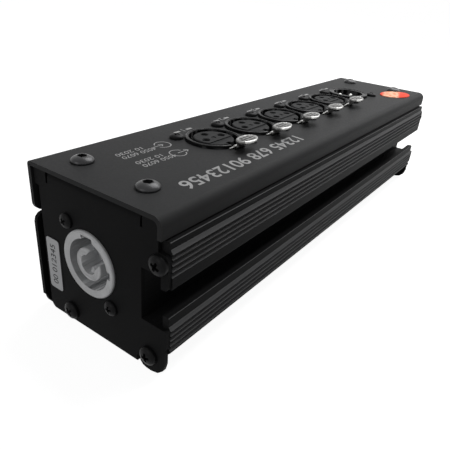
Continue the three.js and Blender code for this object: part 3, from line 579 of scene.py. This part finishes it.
def makeFoot(end):
    # tightens the bend between floor and end wall
    right, left = folded["foot"]
    outer = endFace(end) / mm
    inner = outer - end * folded["footDepth"]
    foot = block("foot", (min(inner, outer), right, 0), (max(inner, outer), left, folded["footDepth"]))
    roundWhere(foot, folded["footCorner"], 6, lambda spot: spot.z < snug and spot.y > left - near)
    roundWhere(foot, folded["footEdge"], 5, lambda spot: spot.z < snug and abs(spot.x - outer) < snug)
    return foot


def makeTray():
    piece = fineCopy("chassis_tray", "tray")
    join(piece, makeFoot(-1), makeFoot(1))
    soften(piece, folded["edge"])
    seat(piece, "case", "tray_paint", trayPaint, "chassis_tray")


def makeRail():
    piece = fineCopy("side_rail", "rail")
    low, high = (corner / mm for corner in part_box("side_rail"))
    outer, inner = ribs["face"] - ribs["mouth"], ribs["face"] + ribs["depth"]
    floor, roof = ribs["floor"], ribs["roof"]
    for start in ribs["lows"]:
        groove = block("groove", (low.x - past, outer, start + floor), (high.x + past, inner, start + roof))
        middle = start + (floor + roof) / 2
        shift(groove, (0, 0, -ribs["drop"] - floor), lambda spot: spot.y < outer + near and spot.z < middle)
        shift(groove, (0, 0, ribs["lip"] - roof), lambda spot: spot.y < outer + near and spot.z > middle)
        cut(piece, groove)
    soften(piece, extruded["edge"])
    seat(piece, "case", "rail_anodised", railFinish, "side_rail")
    # painted highlight: up-facing faces near the outer face get the lighter anodising, where light from above
    # falls
    rise, shoulder = extruded["highlightRise"], (ribs["face"] + extruded["highlightReach"]) * mm
    paintFaces(piece, railHighlightFinish, lambda face: face.normal.z > rise and face.center.y < shoulder)


makeTray()
makeRail()
print("tray and rail made")


# Screws: pan heads with a cross, button heads with a hexagon socket

dome = {"steps": 8, "turn": 10.2}
panHead = {"cross": 1.05, "crossHead": 2.7, "crossShare": 0.64, "depthShare": 0.7, "taperShare": 0.5,
           "edge": 0.07}  # crossHead is the head's radius that cross is given for
buttonHead = {"across": 2.9, "depth": 1.3, "edge": 0.08}
screwTurns = {"first": 12, "socket": 37, "lid": 14, "wall": 31}


def headRings(size):
    rings = [(size["shank"], -size["length"]), (size["shank"], 0), (size["head"], 0)]
    brim = size["height"] * size["brimShare"]
    rings.append((size["head"], brim))
    for step in range(1, dome["steps"] + 1):
        angle = math.radians(step * dome["turn"])
        rings.append((size["head"] * math.cos(angle), brim + (size["height"] - brim) * math.sin(angle)))
    return rings


def makePanHead(name, size):
    piece = turned(name, headRings(size), steps=48)
    reach = size["head"] * panHead["crossShare"]
    bottom = size["height"] * (1 - panHead["depthShare"])
    half = panHead["cross"] / 2 * size["head"] / panHead["crossHead"]
    taper = panHead["taperShare"]
    for low, high in (((-reach, -half), (reach, half)), ((-half, -reach), (half, reach))):
        tool = block("cross", (*low, bottom), (*high, size["height"] + past))
        narrow(tool, (taper, taper, 1), (0, 0, bottom), lambda spot: spot.z < bottom + snug)
        cut(piece, tool)
    soften(piece, panHead["edge"], 1)
    return piece


def makeButtonHead(name, size):
    piece = turned(name, headRings(size), steps=64)
    socket = bar("socket", buttonHead["across"] / math.sqrt(3), (0, 0),
                 size["height"] - buttonHead["depth"], size["height"] + past, steps=6)
    cut(piece, socket)
    soften(piece, buttonHead["edge"])
    return piece


smallScrew = {"head": 2.7, "height": 1.7, "shank": 1.25, "length": 4.6, "brimShare": 0.4}
lidScrew = {"head": 3.8, "height": 2.2, "shank": 1.75, "length": 7, "brimShare": 0.16}
railScrew = {"head": 3.2, "height": 2.2, "shank": 1.6, "length": 9, "brimShare": 0.4}
mainsScrew = {"head": 2.6, "height": 1.8, "shank": 1.25, "length": 4.6, "brimShare": 0.3}


def placeScrews():
    pattern = makePanHead("pan head", smallScrew)
    turn = screwTurns["first"]
    for label in [*(f"output_{number}" for number in outputs), "input"]:
        for index in (1, 2):
            node = f"{label}_screw_{index}"
            where = middleOf(node)
            screw = copyTo(pattern, f"{label}_pan_screw_{index}", (where.x, where.y, deck), turn)
            seat(screw, "case", "black_steel", blackSteel, node)
            turn += screwTurns["socket"]
    bpy.data.objects.remove(pattern)
    pattern = makeButtonHead("button head", lidScrew)
    for index in range(1, 5):
        node = f"cover_screw_{index}"
        where = middleOf(node)
        screw = copyTo(pattern, f"lid_screw_{index}", (where.x, where.y, deck), index * screwTurns["lid"])
        seat(screw, "case", "black_steel", blackZinc, node)
    bpy.data.objects.remove(pattern)
    for end, role in ((-1, "outlet"), (1, "inlet")):
        kinds = [("screw_1", mainsScrew), ("screw_2", mainsScrew), ("end_upper_rail_screw", railScrew),
                 ("end_lower_rail_screw", railScrew), ("end_earth_screw", railScrew)]
        for name, size in kinds:
            node = f"{role}_{name}"
            where = middleOf(node)
            screw = put(makePanHead(f"{role}_wall_{name}", size), (0, 0, 0), turn)
            faceEnd(screw, end, where.y, where.z)
            seat(screw, "case", "black_steel", blackSteel, node)
            turn += screwTurns["wall"]


placeScrews()
print("screws made")


# Signal outputs: housing, insert with its contact sleeves, and latch

housing = {"barrel": 11.4, "depth": 15, "rim": 10.8, "rimTop": 1.3, "well": 9.6, "floor": 13,
           "flange": (24.4, 27.6), "flangeThick": 2.2, "flangeCorner": 2.4, "houseHalf": 4.6,
           "houseReach": 14, "houseBottom": 12.6, "houseLap": 0.4, "houseGap": 0.05, "pocketHalf": 2.8,
           "pocketReach": 12.8, "pocketBottom": 9.3, "pocketLap": 0.3, "seatNear": 9.8, "seatFar": 12,
           "seatBottom": 11.2, "seatTop": 8.3, "edge": 0.1,
           "lip": ((0, 0.35), (0.1, 0.12), (0.35, 0), (0.62, 0), (0.68, 0.22), (0.9, 0.22))}
insertSize = {"radius": 7.8, "top": 1.0, "contactCircle": 4.6, "contactHole": 1.35, "contactDepth": 9,
              "funnel": ((0, 0.35), (-0.4, -0.05), (-0.4, -1)), "keyHalf": 1.1, "keyReach": 6.3,
              "keyBottom": -6, "stepAt": -3.1, "stepDepth": 0.3, "markHalf": 0.8, "markDepth": 0.25,
              "lip": ((0, 0.55), (0.12, 0.25), (0.4, 0.05), (0.8, 0)), "edge": 0.07}
sleeveSize = {"gap": 0.04, "wall": 0.35, "above": 0.1, "below": 0.9, "edge": 0.05}


def lipRings(radius, top, steps):
    # each step is how far in from the radius and how far down from the top
    return [(radius - inward, top - down) for inward, down in steps]


def flangePlate(width, length, thick):
    top = -lid["sheet"]
    plate = block("flange", (-width / 2, -length / 2, top - thick), (width / 2, length / 2, top))
    roundEdges(plate, housing["flangeCorner"], 8, isUpright)
    return plate


def socketBody(name, well):
    under = -lid["sheet"]
    rim, top = housing["rim"], housing["rimTop"]
    piece = turned(name, [(housing["barrel"], -housing["depth"]), (housing["barrel"], under), (rim, under),
                          *lipRings(rim, top, housing["lip"])], steps=96)
    join(piece, flangePlate(*housing["flange"], housing["flangeThick"]))
    cut(piece, bar("well", well, (0, 0), -housing["floor"], top + past, steps=96))
    for side in (-1, 1):
        spot = (side * socketScrews["across"], -side * socketScrews["along"])
        cut(piece, bar("hole", lid["smallHole"], spot, *lid["cutters"], steps=24))
    return piece


def makeHousing():
    well, half = housing["well"], housing["houseHalf"]
    piece = socketBody("output housing", well)
    join(piece, block("house", (-half, -housing["houseReach"], -housing["houseBottom"]),
                      (half, -well - housing["houseLap"], -lid["sheet"] - housing["houseGap"])))
    half = housing["pocketHalf"]
    cut(piece, block("pocket", (-half, -housing["pocketReach"], -housing["pocketBottom"]),
                     (half, -well + housing["pocketLap"], housing["rimTop"] + past)))
    cut(piece, block("seat", (-half, -housing["seatFar"], -housing["seatBottom"]),
                     (half, -housing["seatNear"], -housing["seatTop"])))
    soften(piece, housing["edge"])
    return piece


def contactSpots():
    circle = insertSize["contactCircle"]
    return [(-circle, 0), (circle, 0), (0, circle)]


def makeInsert():
    radius, top, over = insertSize["radius"], insertSize["top"], insertSize["top"] + past
    profile = [(radius, -housing["floor"]), *lipRings(radius, top, insertSize["lip"])]
    piece = turned("output insert", profile, steps=96)
    hole = insertSize["contactHole"]
    for spot in contactSpots():
        cut(piece, bar("contact", hole, spot, top - insertSize["contactDepth"], over, steps=36))
        funnel = turned("funnel", lipRings(hole, top, insertSize["funnel"]), steps=36)
        cut(piece, put(funnel, (*spot, 0)))
    reach, ledge = radius + past, top - insertSize["stepDepth"]
    cut(piece, block("step", (-reach, -reach, ledge), (reach, insertSize["stepAt"], over)))
    half = insertSize["keyHalf"]
    cut(piece, block("key", (-half, -reach, insertSize["keyBottom"]), (half, -insertSize["keyReach"], over)))
    mark = insertSize["markHalf"]
    cut(piece, block("mark", (-mark, -mark, top - insertSize["markDepth"]), (mark, mark, over)))
    soften(piece, insertSize["edge"])
    return piece


def makeSleeve():
    outer = insertSize["contactHole"] - sleeveSize["gap"]
    inner = outer - sleeveSize["wall"]
    low = insertSize["top"] - insertSize["contactDepth"] + sleeveSize["above"]
    high = insertSize["top"] - sleeveSize["below"]
    profile = [(outer, low), (outer, high), (inner, high), (inner, low)]
    piece = turned("contact sleeve", profile, steps=36, hollow=True)
    soften(piece, sleeveSize["edge"], 1)
    return piece


latch = {"seat": 10.9, "pivot": 10.1, "thick": 0.9, "half": 2.5, "roll": 0.8, "over": 0.82, "neckAt": -1.9,
         "neckTop": 3.45, "noseHalf": 1.5, "noseReach": 1.5, "noseTop": 2.1, "noseLow": 4.8, "noseSlope": 1.8,
         "bends": ((0, -0.85), (-0.1, -0.35), (-0.42, 0), (-1.1, 0), (-1.62, 0.16), (-1.85, 0.6)),
         "strip": ((-4.7, -0.4, 0.18), (4.7, 0.3, 0.62)), "paintedShadeRise": 0.7, "edge": 0.1}
pad = {"at": 4, "length": 10.8, "width": 6.4, "under": 3.2, "top": 4.42, "underEdge": 0.3, "topEdge": 0.5,
       "rim": 0.25, "sink": 0.14, "slope": 0.2, "gripHalf": 0.3, "gripLow": 4.02, "gripTop": 4.58,
       "grips": ((-1.35, 2.6), (0, 3.3), (1.35, 2.6)), "edge": 0.08, "hatchShare": 0.86,
       "highlightShares": (0.35, -0.94), "highlightLimit": 0.3, "faceArea": 20}


def makeLatch():
    # drawn about the line it rocks on, with the deck at height 0
    half, thick = latch["half"], latch["thick"]
    foot = -latch["pivot"]
    pickNone()
    bpy.ops.mesh.primitive_plane_add(size=2 * half * mm, location=(0, 0, foot * mm))
    leaf = named("output latch")
    mesh = editMesh(leaf, "VERT")
    chooseIn(leaf, mesh.verts, lambda vert: vert.co.y > 0)
    bpy.ops.mesh.delete(type="VERT")
    bpy.ops.mesh.select_all(action="SELECT")
    over = latch["over"]
    path = [(0, foot), *((y, over + rise) for y, rise in latch["bends"]), (latch["neckAt"], latch["neckTop"])]
    bpy.ops.transform.translate(value=(0, -mesh.verts[:][0].co.y, 0))
    for (fromY, fromZ), (toY, toZ) in zip(path, path[1:]):
        bpy.ops.mesh.extrude_region_move(
            TRANSFORM_OT_translate={"value": (0, (toY - fromY) * mm, (toZ - fromZ) * mm)})
    leaveEdit()
    faceOut(leaf)
    thicken(leaf, thick, 0)
    settle(leaf)
    faceOut(leaf)
    nose = block("nose", (-latch["noseHalf"], 0, -latch["noseLow"]),
                 (latch["noseHalf"], thick / 2 + latch["noseReach"], -latch["noseTop"]))
    shift(nose, (0, 0, latch["noseSlope"]), lambda spot: spot.y > thick and spot.z < -latch["noseLow"] + near)
    roll = bar("roll", latch["roll"], (0, 0), -half, half, steps=32)
    roll.rotation_euler = (0, math.radians(90), 0)
    roll.location = (0, 0, foot * mm)
    settle(roll)
    join(leaf, nose, roll, block("strip", *latch["strip"]))
    soften(leaf, latch["edge"])
    return leaf


def makePad():
    piece = bar("output pad", pad["length"] / 2, (0, 0), pad["under"], pad["top"], steps=72)
    piece.scale = (1, pad["width"] / pad["length"], 1)
    settle(piece)
    roundWhere(piece, pad["topEdge"], 5, lambda spot: spot.z > pad["top"] - snug)
    roundWhere(piece, pad["underEdge"], 3, lambda spot: spot.z < pad["under"] + snug)
    mesh = editMesh(piece)
    area = pad["faceArea"] * mm ** 2
    chooseIn(piece, mesh.faces, lambda face: face.normal.z > 0.99 and face.calc_area() > area)
    bpy.ops.mesh.inset(thickness=pad["rim"] * mm)
    bpy.ops.transform.translate(value=(0, 0, -pad["sink"] * mm))
    bpy.ops.mesh.inset(thickness=pad["slope"] * mm)
    leaveEdit()
    half, low, top = pad["gripHalf"], pad["gripLow"], pad["gripTop"]
    for across, reach in pad["grips"]:
        join(piece, block("grip", (-reach, across - half, low), (reach, across + half, top)))
    soften(piece, pad["edge"])
    return put(piece, (0, -pad["at"], 0))


def isHatched(face, middle):
    # the pad's face, and its rim save for the outer side, which keeps the lighter nickel as a painted
    # highlight
    along = (face.center.x - middle.x) / (pad["length"] / 2 * mm)
    across = (face.center.y - middle.y) / (pad["width"] / 2 * mm)
    highlightAlong, highlightAcross = pad["highlightShares"]
    outward = along * highlightAlong + across * highlightAcross
    return math.hypot(along, across) < pad["hatchShare"] or outward < pad["highlightLimit"]


def placeOutputs():
    shell, insert, sleeve = makeHousing(), makeInsert(), makeSleeve()
    lever, press = makeLatch(), makePad()
    for number, where in outputs.items():
        place = (where.x, where.y, deck)
        seat(copyTo(shell, f"output_housing_{number}", place), "case", "socket_black", socketPlastic,
             f"output_socket_{number}")
        seat(copyTo(insert, f"output_face_{number}", place), "case", "insert_black", insertPlastic,
             f"output_insert_{number}")
        for index, (x, y) in enumerate(contactSpots(), 1):
            spot = (where.x + x, where.y + y, deck)
            seat(copyTo(sleeve, f"output_{number}_contact_{index}", spot), "case", "nickel", nickelPlate)
        foot = (where.x, where.y - latch["seat"], deck)
        body = f"latch_{number}"
        piece = copyTo(lever, f"output_lever_{number}", foot)
        seat(piece, body, "nickel", nickelPlate, f"output_latch_{number}")
        # painted shade: the lever's neck above the strip and its faces turned to -Y get the darker nickel
        neck = (deck + latch["over"] + latch["paintedShadeRise"]) * mm
        paintFaces(piece, nickelPaintedShade, lambda face: face.center.z > neck or face.normal.y < -0.5)
        piece = seat(copyTo(press, f"output_pad_{number}", foot), body, "nickel", nickelPlate)
        middle = Vector((where.x, where.y - latch["seat"] - pad["at"])) * mm
        # the hatched face is the pad's own texture; the rim's outer side keeps the lighter nickel as a
        # painted highlight
        paintFaces(piece, padNickel, lambda face: isHatched(face, middle))
    for pattern in (shell, insert, sleeve, lever, press):
        bpy.data.objects.remove(pattern)


placeOutputs()
print("signal outputs made")


# Signal input: open cup with three pins

cup = {"radius": 8.1, "baseGap": 0.3, "baseThick": 2.4, "baseLip": ((0, 0.3), (0.3, 0)), "holeGap": 0.1,
       "pin": 1.2, "pinTop": -0.2, "edge": 0.1, "baseEdge": 0.08,
       "tipShares": ((1, 1.1), (0.92, 0.6), (0.72, 0.22), (0.4, 0.03), (0.1, 0))}


def placeInput():
    place = (inputPlace.x, inputPlace.y, deck)
    shell = socketBody("input_housing", cup["radius"])
    soften(shell, cup["edge"])
    seat(put(shell, place), "case", "socket_black", socketPlastic, "input_socket")
    floor = -housing["floor"]
    radius, top = cup["radius"] - cup["baseGap"], floor + cup["baseThick"]
    base = turned("input_base", [(radius, floor), *lipRings(radius, top, cup["baseLip"])])
    for spot in contactSpots():
        cut(base, bar("hole", cup["pin"] + cup["holeGap"], spot, floor - past, top + past, steps=24))
    soften(base, cup["baseEdge"], 1)
    seat(put(base, place), "case", "insert_black", insertPlastic, "input_pin_base")
    tip = [(cup["pin"] * share, cup["pinTop"] - down) for share, down in cup["tipShares"]]
    for index, (x, y) in enumerate(contactSpots(), 1):
        post = turned(f"input_post_{index}", [(cup["pin"], floor), *tip], steps=32)
        smooth(post)
        seat(put(post, (inputPlace.x + x, inputPlace.y + y, deck)), "case", "nickel", nickelPlate,
             f"input_pin_{index}")


placeInput()
print("signal input made")


# Mains sockets: keyed shell and open-sided core

mains = {"ring": 11.6, "proud": 0.9, "bore": 8.8, "boreDepth": 12, "body": 10.6, "bodyDepth": 24,
         "ringLip": ((0, 0.6), (0.1, 0.3), (0.32, 0.08), (0.6, 0), (0.8, 0.1)),
         "boreLip": ((-0.6, 0.14), (-0.3, 0.24)),
         "tail": (19, 11), "tailDepth": 30, "tailStart": 14, "flange": (26, 31), "flangeThick": 2.2,
         "keyHalf": 2.5, "keyReach": 10, "sideKeyHalf": 1.3, "screwAcross": 9.5, "screwUp": 12, "edge": 0.16}
mainsCore = {"radius": 5.7, "proud": 0.6, "lip": ((0, 0.5), (0.12, 0.2), (0.4, 0)), "bore": 3.3, "depth": 7,
             "channelHalf": 2.7, "channelDepth": 5, "channelTurn": 48, "contactHalf": 1.5, "contactOut": 3.5,
             "contactIn": 1.2, "contactDown": 1.4, "contactTurn": 12, "contactShare": 0.2}


def makeShell(name):
    under, proud, floor = -lid["sheet"], mains["proud"], -mains["boreDepth"]
    body, ring, bore = mains["body"], mains["ring"], mains["bore"]
    lips = lipRings(ring, proud, mains["ringLip"]) + lipRings(bore, proud, mains["boreLip"])
    piece = turned(name, [(body, -mains["bodyDepth"]), (body, under), (ring, under), *lips], steps=96)
    width, height = (size / 2 for size in mains["tail"])
    tail = block("tail", (-width, -height, -mains["tailDepth"]), (width, height, -mains["tailStart"]))
    join(piece, flangePlate(*mains["flange"], mains["flangeThick"]), tail)
    cut(piece, bar("bore", bore, (0, 0), floor, proud + past, steps=96))
    half, reach, side = mains["keyHalf"], mains["keyReach"], mains["sideKeyHalf"]
    cut(piece, block("key", (-half, 0, floor), (half, reach, proud + past)))
    cut(piece, block("key", (0, -side, floor), (reach, side, proud + past)))
    for way in (-1, 1):
        spot = (way * mains["screwAcross"], -way * mains["screwUp"])
        cut(piece, bar("hole", lid["smallHole"], spot, *lid["cutters"], steps=24))
    soften(piece, mains["edge"])
    return piece


def makeCore(name):
    radius, top = mainsCore["radius"], mainsCore["proud"]
    piece = turned(name, [(radius, -mains["boreDepth"]), *lipRings(radius, top, mainsCore["lip"])], steps=80)
    floor = top - mainsCore["depth"]
    cut(piece, bar("bore", mainsCore["bore"], (0, 0), floor, top + past, steps=64))
    half = mainsCore["channelHalf"]
    channel = block("channel", (0, -half, top - mainsCore["channelDepth"]), (radius + past, half, top + past))
    cut(piece, put(channel, (0, 0, 0), mainsCore["channelTurn"]))
    half, inner, upper = mainsCore["contactHalf"], -mainsCore["contactIn"], top - mainsCore["contactDown"]
    contact = block("contact", (-half, -mainsCore["contactOut"], floor), (half, inner, upper))
    narrow(contact, (mainsCore["contactShare"], 1, 1), (0, inner, 0),
           lambda spot: spot.z > upper - near and spot.y > inner - near)
    join(piece, put(contact, (0, 0, 0), mainsCore["contactTurn"]))
    soften(piece, mains["edge"])
    return piece


def placeMains():
    ends = ((-1, "outlet", "grey_plastic", greyPlastic), (1, "inlet", "blue_plastic", bluePlastic))
    for end, role, slot, plastic in ends:
        where = middleOf(f"power_{role}_core")
        for kind, make in (("shell", makeShell), ("core", makeCore)):
            piece = faceEnd(make(f"{role}_{kind}"), end, where.y, where.z)
            seat(piece, "case", slot, plastic, f"power_{role}_{kind}")


placeMains()
print("mains sockets made")


# Plates: silver plate with its figures on the end wall, domed badge on the lid

badge = {"halves": (11, 7.2), "turn": -15, "edge": 0.35}
plate = {"edge": 0.06, "text": "00 012345", "textSize": 3.7}
inkDepth = 0.02


def makeText(name, body, size, turn=0, bold=0, lean=0, alignY="TOP_BASELINE"):
    pickNone()
    bpy.ops.object.text_add(rotation=(0, 0, turn))
    words = bpy.context.object
    words.data.body = body
    words.data.size = size * mm
    words.data.extrude = inkDepth / 2 * mm
    words.data.offset = bold * mm
    words.data.shear = lean
    words.data.align_x = "CENTER"
    words.data.align_y = alignY
    pick(words)
    bpy.ops.object.convert(target="MESH")
    return named(name)


def printPlate():
    low, high = (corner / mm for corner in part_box("rating_plate"))
    marks = makeText("plate_numbers", plate["text"], plate["textSize"], alignY="CENTER")
    middle = (low + high) / 2
    upward = Matrix(((0, 0, -1), (0, 1, 0), (1, 0, 0))).to_4x4()
    upward.translation = ((low.x - inkDepth / 2) * mm, middle.y * mm, middle.z * mm)
    marks.matrix_world = upward
    settle(marks)
    seat(marks, "case", "silver_plate", darkInk)


def makePlates():
    piece = fineCopy("rating_plate", "silver_plate")
    soften(piece, plate["edge"])
    seat(piece, "case", "silver_plate", plateSilver, "rating_plate")
    low, high = (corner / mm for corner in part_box("badge"))
    thick = high.z - low.z
    longHalf, shortHalf = badge["halves"]
    piece = bar("badge_dome", longHalf, (0, 0), 0, thick, steps=72)
    piece.scale = (1, shortHalf / longHalf, 1)
    settle(piece)
    roundWhere(piece, badge["edge"], 4, lambda spot: spot.z > thick - snug)
    smooth(piece)
    put(piece, (badgeCentre.x, badgeCentre.y, low.z), badge["turn"])
    seat(piece, "case", "badge_enamel", badgeFinish, "badge")


makePlates()
printPlate()
print("plates made")


# Printing on the lid, upright for someone on its plain long side

halfWidth = 28.5
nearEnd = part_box("top_cover")[0].x / mm
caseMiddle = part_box("chassis_tray")[1].y / mm - halfWidth
figures = {"lean": 0.15, "sizeShare": 1.4}
title = {"figures": "12345 678 90123456", "along": (19.5, 90.5), "across": (-21.8, -15.8), "bold": 0.1}
notes = {"start": 22.5, "height": 2.3, "rows": (("10 2030", 34.5, 14.1), ("4050 6070", 38, 10.9),
                                                ("10 2030", 34.5, 4.7), ("4050 6070", 38, 1.5))}
arrows = {"radius": 3.2, "line": 0.38, "gapHalf": 1.2, "shaft": 5.2, "barbHalf": 0.9, "barbApart": 0.5,
          "barbTurn": 38, "ways": ((42.5, 10.7, 1, -0.6), (40, 1.2, -1, 4.6))}
numbers = {"across": 18.6, "size": 4, "dash": (3.2, 1.3), "dashAway": 1.9, "dashDown": 1.4}


def inkBlock(name, x, y, width, height):
    low = (x - width / 2, y - height / 2, deck)
    return block(name, low, (x + width / 2, y + height / 2, deck + inkDepth))


def gather(name, pieces):
    pickNone()
    for piece in pieces:
        piece.select_set(True)
    bpy.context.view_layer.objects.active = pieces[0]
    bpy.ops.object.join()
    joined = named(name)
    return seat(joined, "case", "silver_plate", printInk)


def printLine(body, along, across, bold=0):
    # plain figures, fitted to their place
    size = figures["sizeShare"] * (across[1] - across[0])
    line = makeText("figures", body, size, math.pi, bold, figures["lean"])
    settle(line)
    shares, starts = [], []
    for axis, (low, high), start in ((0, along, nearEnd), (1, across, caseMiddle)):
        spots = [vert.co[axis] for vert in line.data.vertices]
        share = (high - low) * mm / (max(spots) - min(spots))
        shares.append(share)
        starts.append((start + low) * mm - min(spots) * share)
    line.scale = (*shares, 1)
    line.location = (*starts, (deck + inkDepth / 2) * mm)
    settle(line)
    return line


def printTitle():
    gather("title_print", [printLine(title["figures"], title["along"], title["across"], title["bold"])])


def printNotes():
    lines = []
    for body, end, top in notes["rows"]:
        lines.append(printLine(body, (notes["start"], end), (top - notes["height"], top)))
    gather("note_print", lines)


def printArrows():
    strokes = []
    radius, line = arrows["radius"], arrows["line"]
    inner, gap, barb = radius - line, arrows["gapHalf"], arrows["barbHalf"]
    profile = [(radius, 0), (radius, inkDepth), (inner, inkDepth), (inner, 0)]
    for along, across, side, tip in arrows["ways"]:
        x, y = nearEnd + along, caseMiddle + across
        ring = turned("ring", profile, steps=64, hollow=True)
        left, right = sorted((0, -side * (radius + past)))
        cut(ring, block("gap", (left, -gap, -past), (right, gap, past)))
        strokes.append(put(ring, (x, y, deck)))
        strokes.append(inkBlock("shaft", x - side * arrows["shaft"] / 2, y, arrows["shaft"], line))
        for turn in (-1, 1):
            piece = block("barb", (-barb, -line / 2, 0), (barb, line / 2, inkDepth))
            put(piece, (x + tip, y + turn * arrows["barbApart"], deck), -turn * arrows["barbTurn"])
            strokes.append(piece)
    gather("arrow_print", strokes)


def printNumbers():
    marks = []
    length, height = numbers["dash"]
    for number, where in [*outputs.items(), (6, inputPlace)]:
        label = makeText("number", str(number), numbers["size"], math.pi)
        x, y = where.x, caseMiddle + numbers["across"]
        label.location = (x * mm, y * mm, (deck + inkDepth / 2) * mm)
        settle(label)
        marks.append(label)
        for side in (-1, 1):
            away = side * (length / 2 + numbers["dashAway"])
            marks.append(inkBlock("dash", x + away, y - numbers["dashDown"], length, height))
    gather("number_print", marks)


printTitle()
printNotes()
printArrows()
printNumbers()
print("printing made")


# Inner pieces keep their frame shapes

innerFinishes = {"signal_board": boardGreen, "power_supply": boardGreen, "live_lead": brownSleeve,
                 "neutral_lead": blueSleeve, "earth_lead": earthSleeve}
for node, finish in innerFinishes.items():
    dress(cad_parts[node], finish)
print("inner pieces dressed")


# Studio: pale floor, white surround, soft lamps and the photograph's camera

studio = {"floor": 4.0, "paper": 0.3, "paperGlow": 0.93, "worldLight": 0.12}
lamps = {
    "top": {"place": (0.3, -0.01, 0.52), "aim": (0.04, 0, 0.05), "size": 0.45, "power": 3.5},
    "end": {"place": (-0.8, 0.1, 0.3), "aim": (-0.1, 0, 0.03), "size": 0.4, "power": 1.0},
    "side": {"place": (0.46, -0.16, 0.3), "aim": (0.06, -0.01, 0.03), "size": 0.16, "power": 0.35},
}
camera = {"place": (-0.19595, -0.09926, 0.11026), "lens": 37.72, "right": (0.5902, -0.8037, 0.0758),
          "up": (0.338, 0.3313, 0.8809), "back": (-0.7331, -0.4943, 0.4672), "sensor": 36, "nearest": 0.005}


def seenWhite(owner):
    # 1 for what the camera, a gloss or a clear piece sees, 0 for light on the object
    path = addNode(owner, "ShaderNodeLightPath")
    total = path.outputs["Is Camera Ray"]
    for kind in ("Is Glossy Ray", "Is Transmission Ray"):
        add = addNode(owner, "ShaderNodeMath", operation="ADD", use_clamp=True)
        owner.node_tree.links.new(total, add.inputs[0])
        owner.node_tree.links.new(path.outputs[kind], add.inputs[1])
        total = add.outputs[0]
    return total


def makeWorld():
    world = bpy.data.worlds.new("studio")
    bpy.context.scene.world = world
    world.use_nodes = True
    light = world.node_tree.nodes["Background"]
    white = addNode(world, "ShaderNodeBackground")
    for shader, strength in ((light, studio["worldLight"]), (white, 1)):
        shader.inputs["Color"].default_value = (1, 1, 1, 1)
        shader.inputs["Strength"].default_value = strength
    mix = addNode(world, "ShaderNodeMixShader")
    links = world.node_tree.links
    links.new(seenWhite(world), mix.inputs[0])
    links.new(light.outputs[0], mix.inputs[1])
    links.new(white.outputs[0], mix.inputs[2])
    links.new(mix.outputs[0], world.node_tree.nodes["World Output"].inputs["Surface"])


def makeFloor():
    pickNone()
    bpy.ops.mesh.primitive_plane_add(size=studio["floor"])
    floor = named("floor")
    paper, shader = newFinish("paper", [studio["paper"]] * 3, 0.9, 0.0, 0.1)
    glow = addNode(paper, "ShaderNodeEmission")
    level = addNode(paper, "ShaderNodeMath", operation="MULTIPLY")
    level.inputs[1].default_value = studio["paperGlow"]
    both = addNode(paper, "ShaderNodeAddShader")
    links = paper.node_tree.links
    links.new(seenWhite(paper), level.inputs[0])
    links.new(level.outputs[0], glow.inputs["Strength"])
    links.new(shader.outputs[0], both.inputs[0])
    links.new(glow.outputs[0], both.inputs[1])
    links.new(both.outputs[0], paper.node_tree.nodes["Material Output"].inputs["Surface"])
    floor.data.materials.append(paper)


def makeLamps():
    for name, lamp in lamps.items():
        pickNone()
        bpy.ops.object.light_add(type="AREA", location=lamp["place"])
        light = bpy.context.object
        light.name = f"lamp_{name}"
        light.data.size = lamp["size"]
        light.data.energy = lamp["power"]
        aim = Vector(lamp["aim"]) - Vector(lamp["place"])
        light.rotation_euler = aim.to_track_quat("-Z", "Y").to_euler()


def makeCamera():
    pickNone()
    bpy.ops.object.camera_add(location=camera["place"])
    view = bpy.context.object
    view.name = "camera"
    view.rotation_euler = Matrix((camera["right"], camera["up"], camera["back"])).transposed().to_euler()
    view.data.lens = camera["lens"]
    view.data.sensor_width = camera["sensor"]
    view.data.clip_start = camera["nearest"]
    bpy.context.scene.camera = view


makeWorld()
makeFloor()
makeLamps()
makeCamera()
bpy.context.scene.view_settings.view_transform = "Standard"
print("studio made")
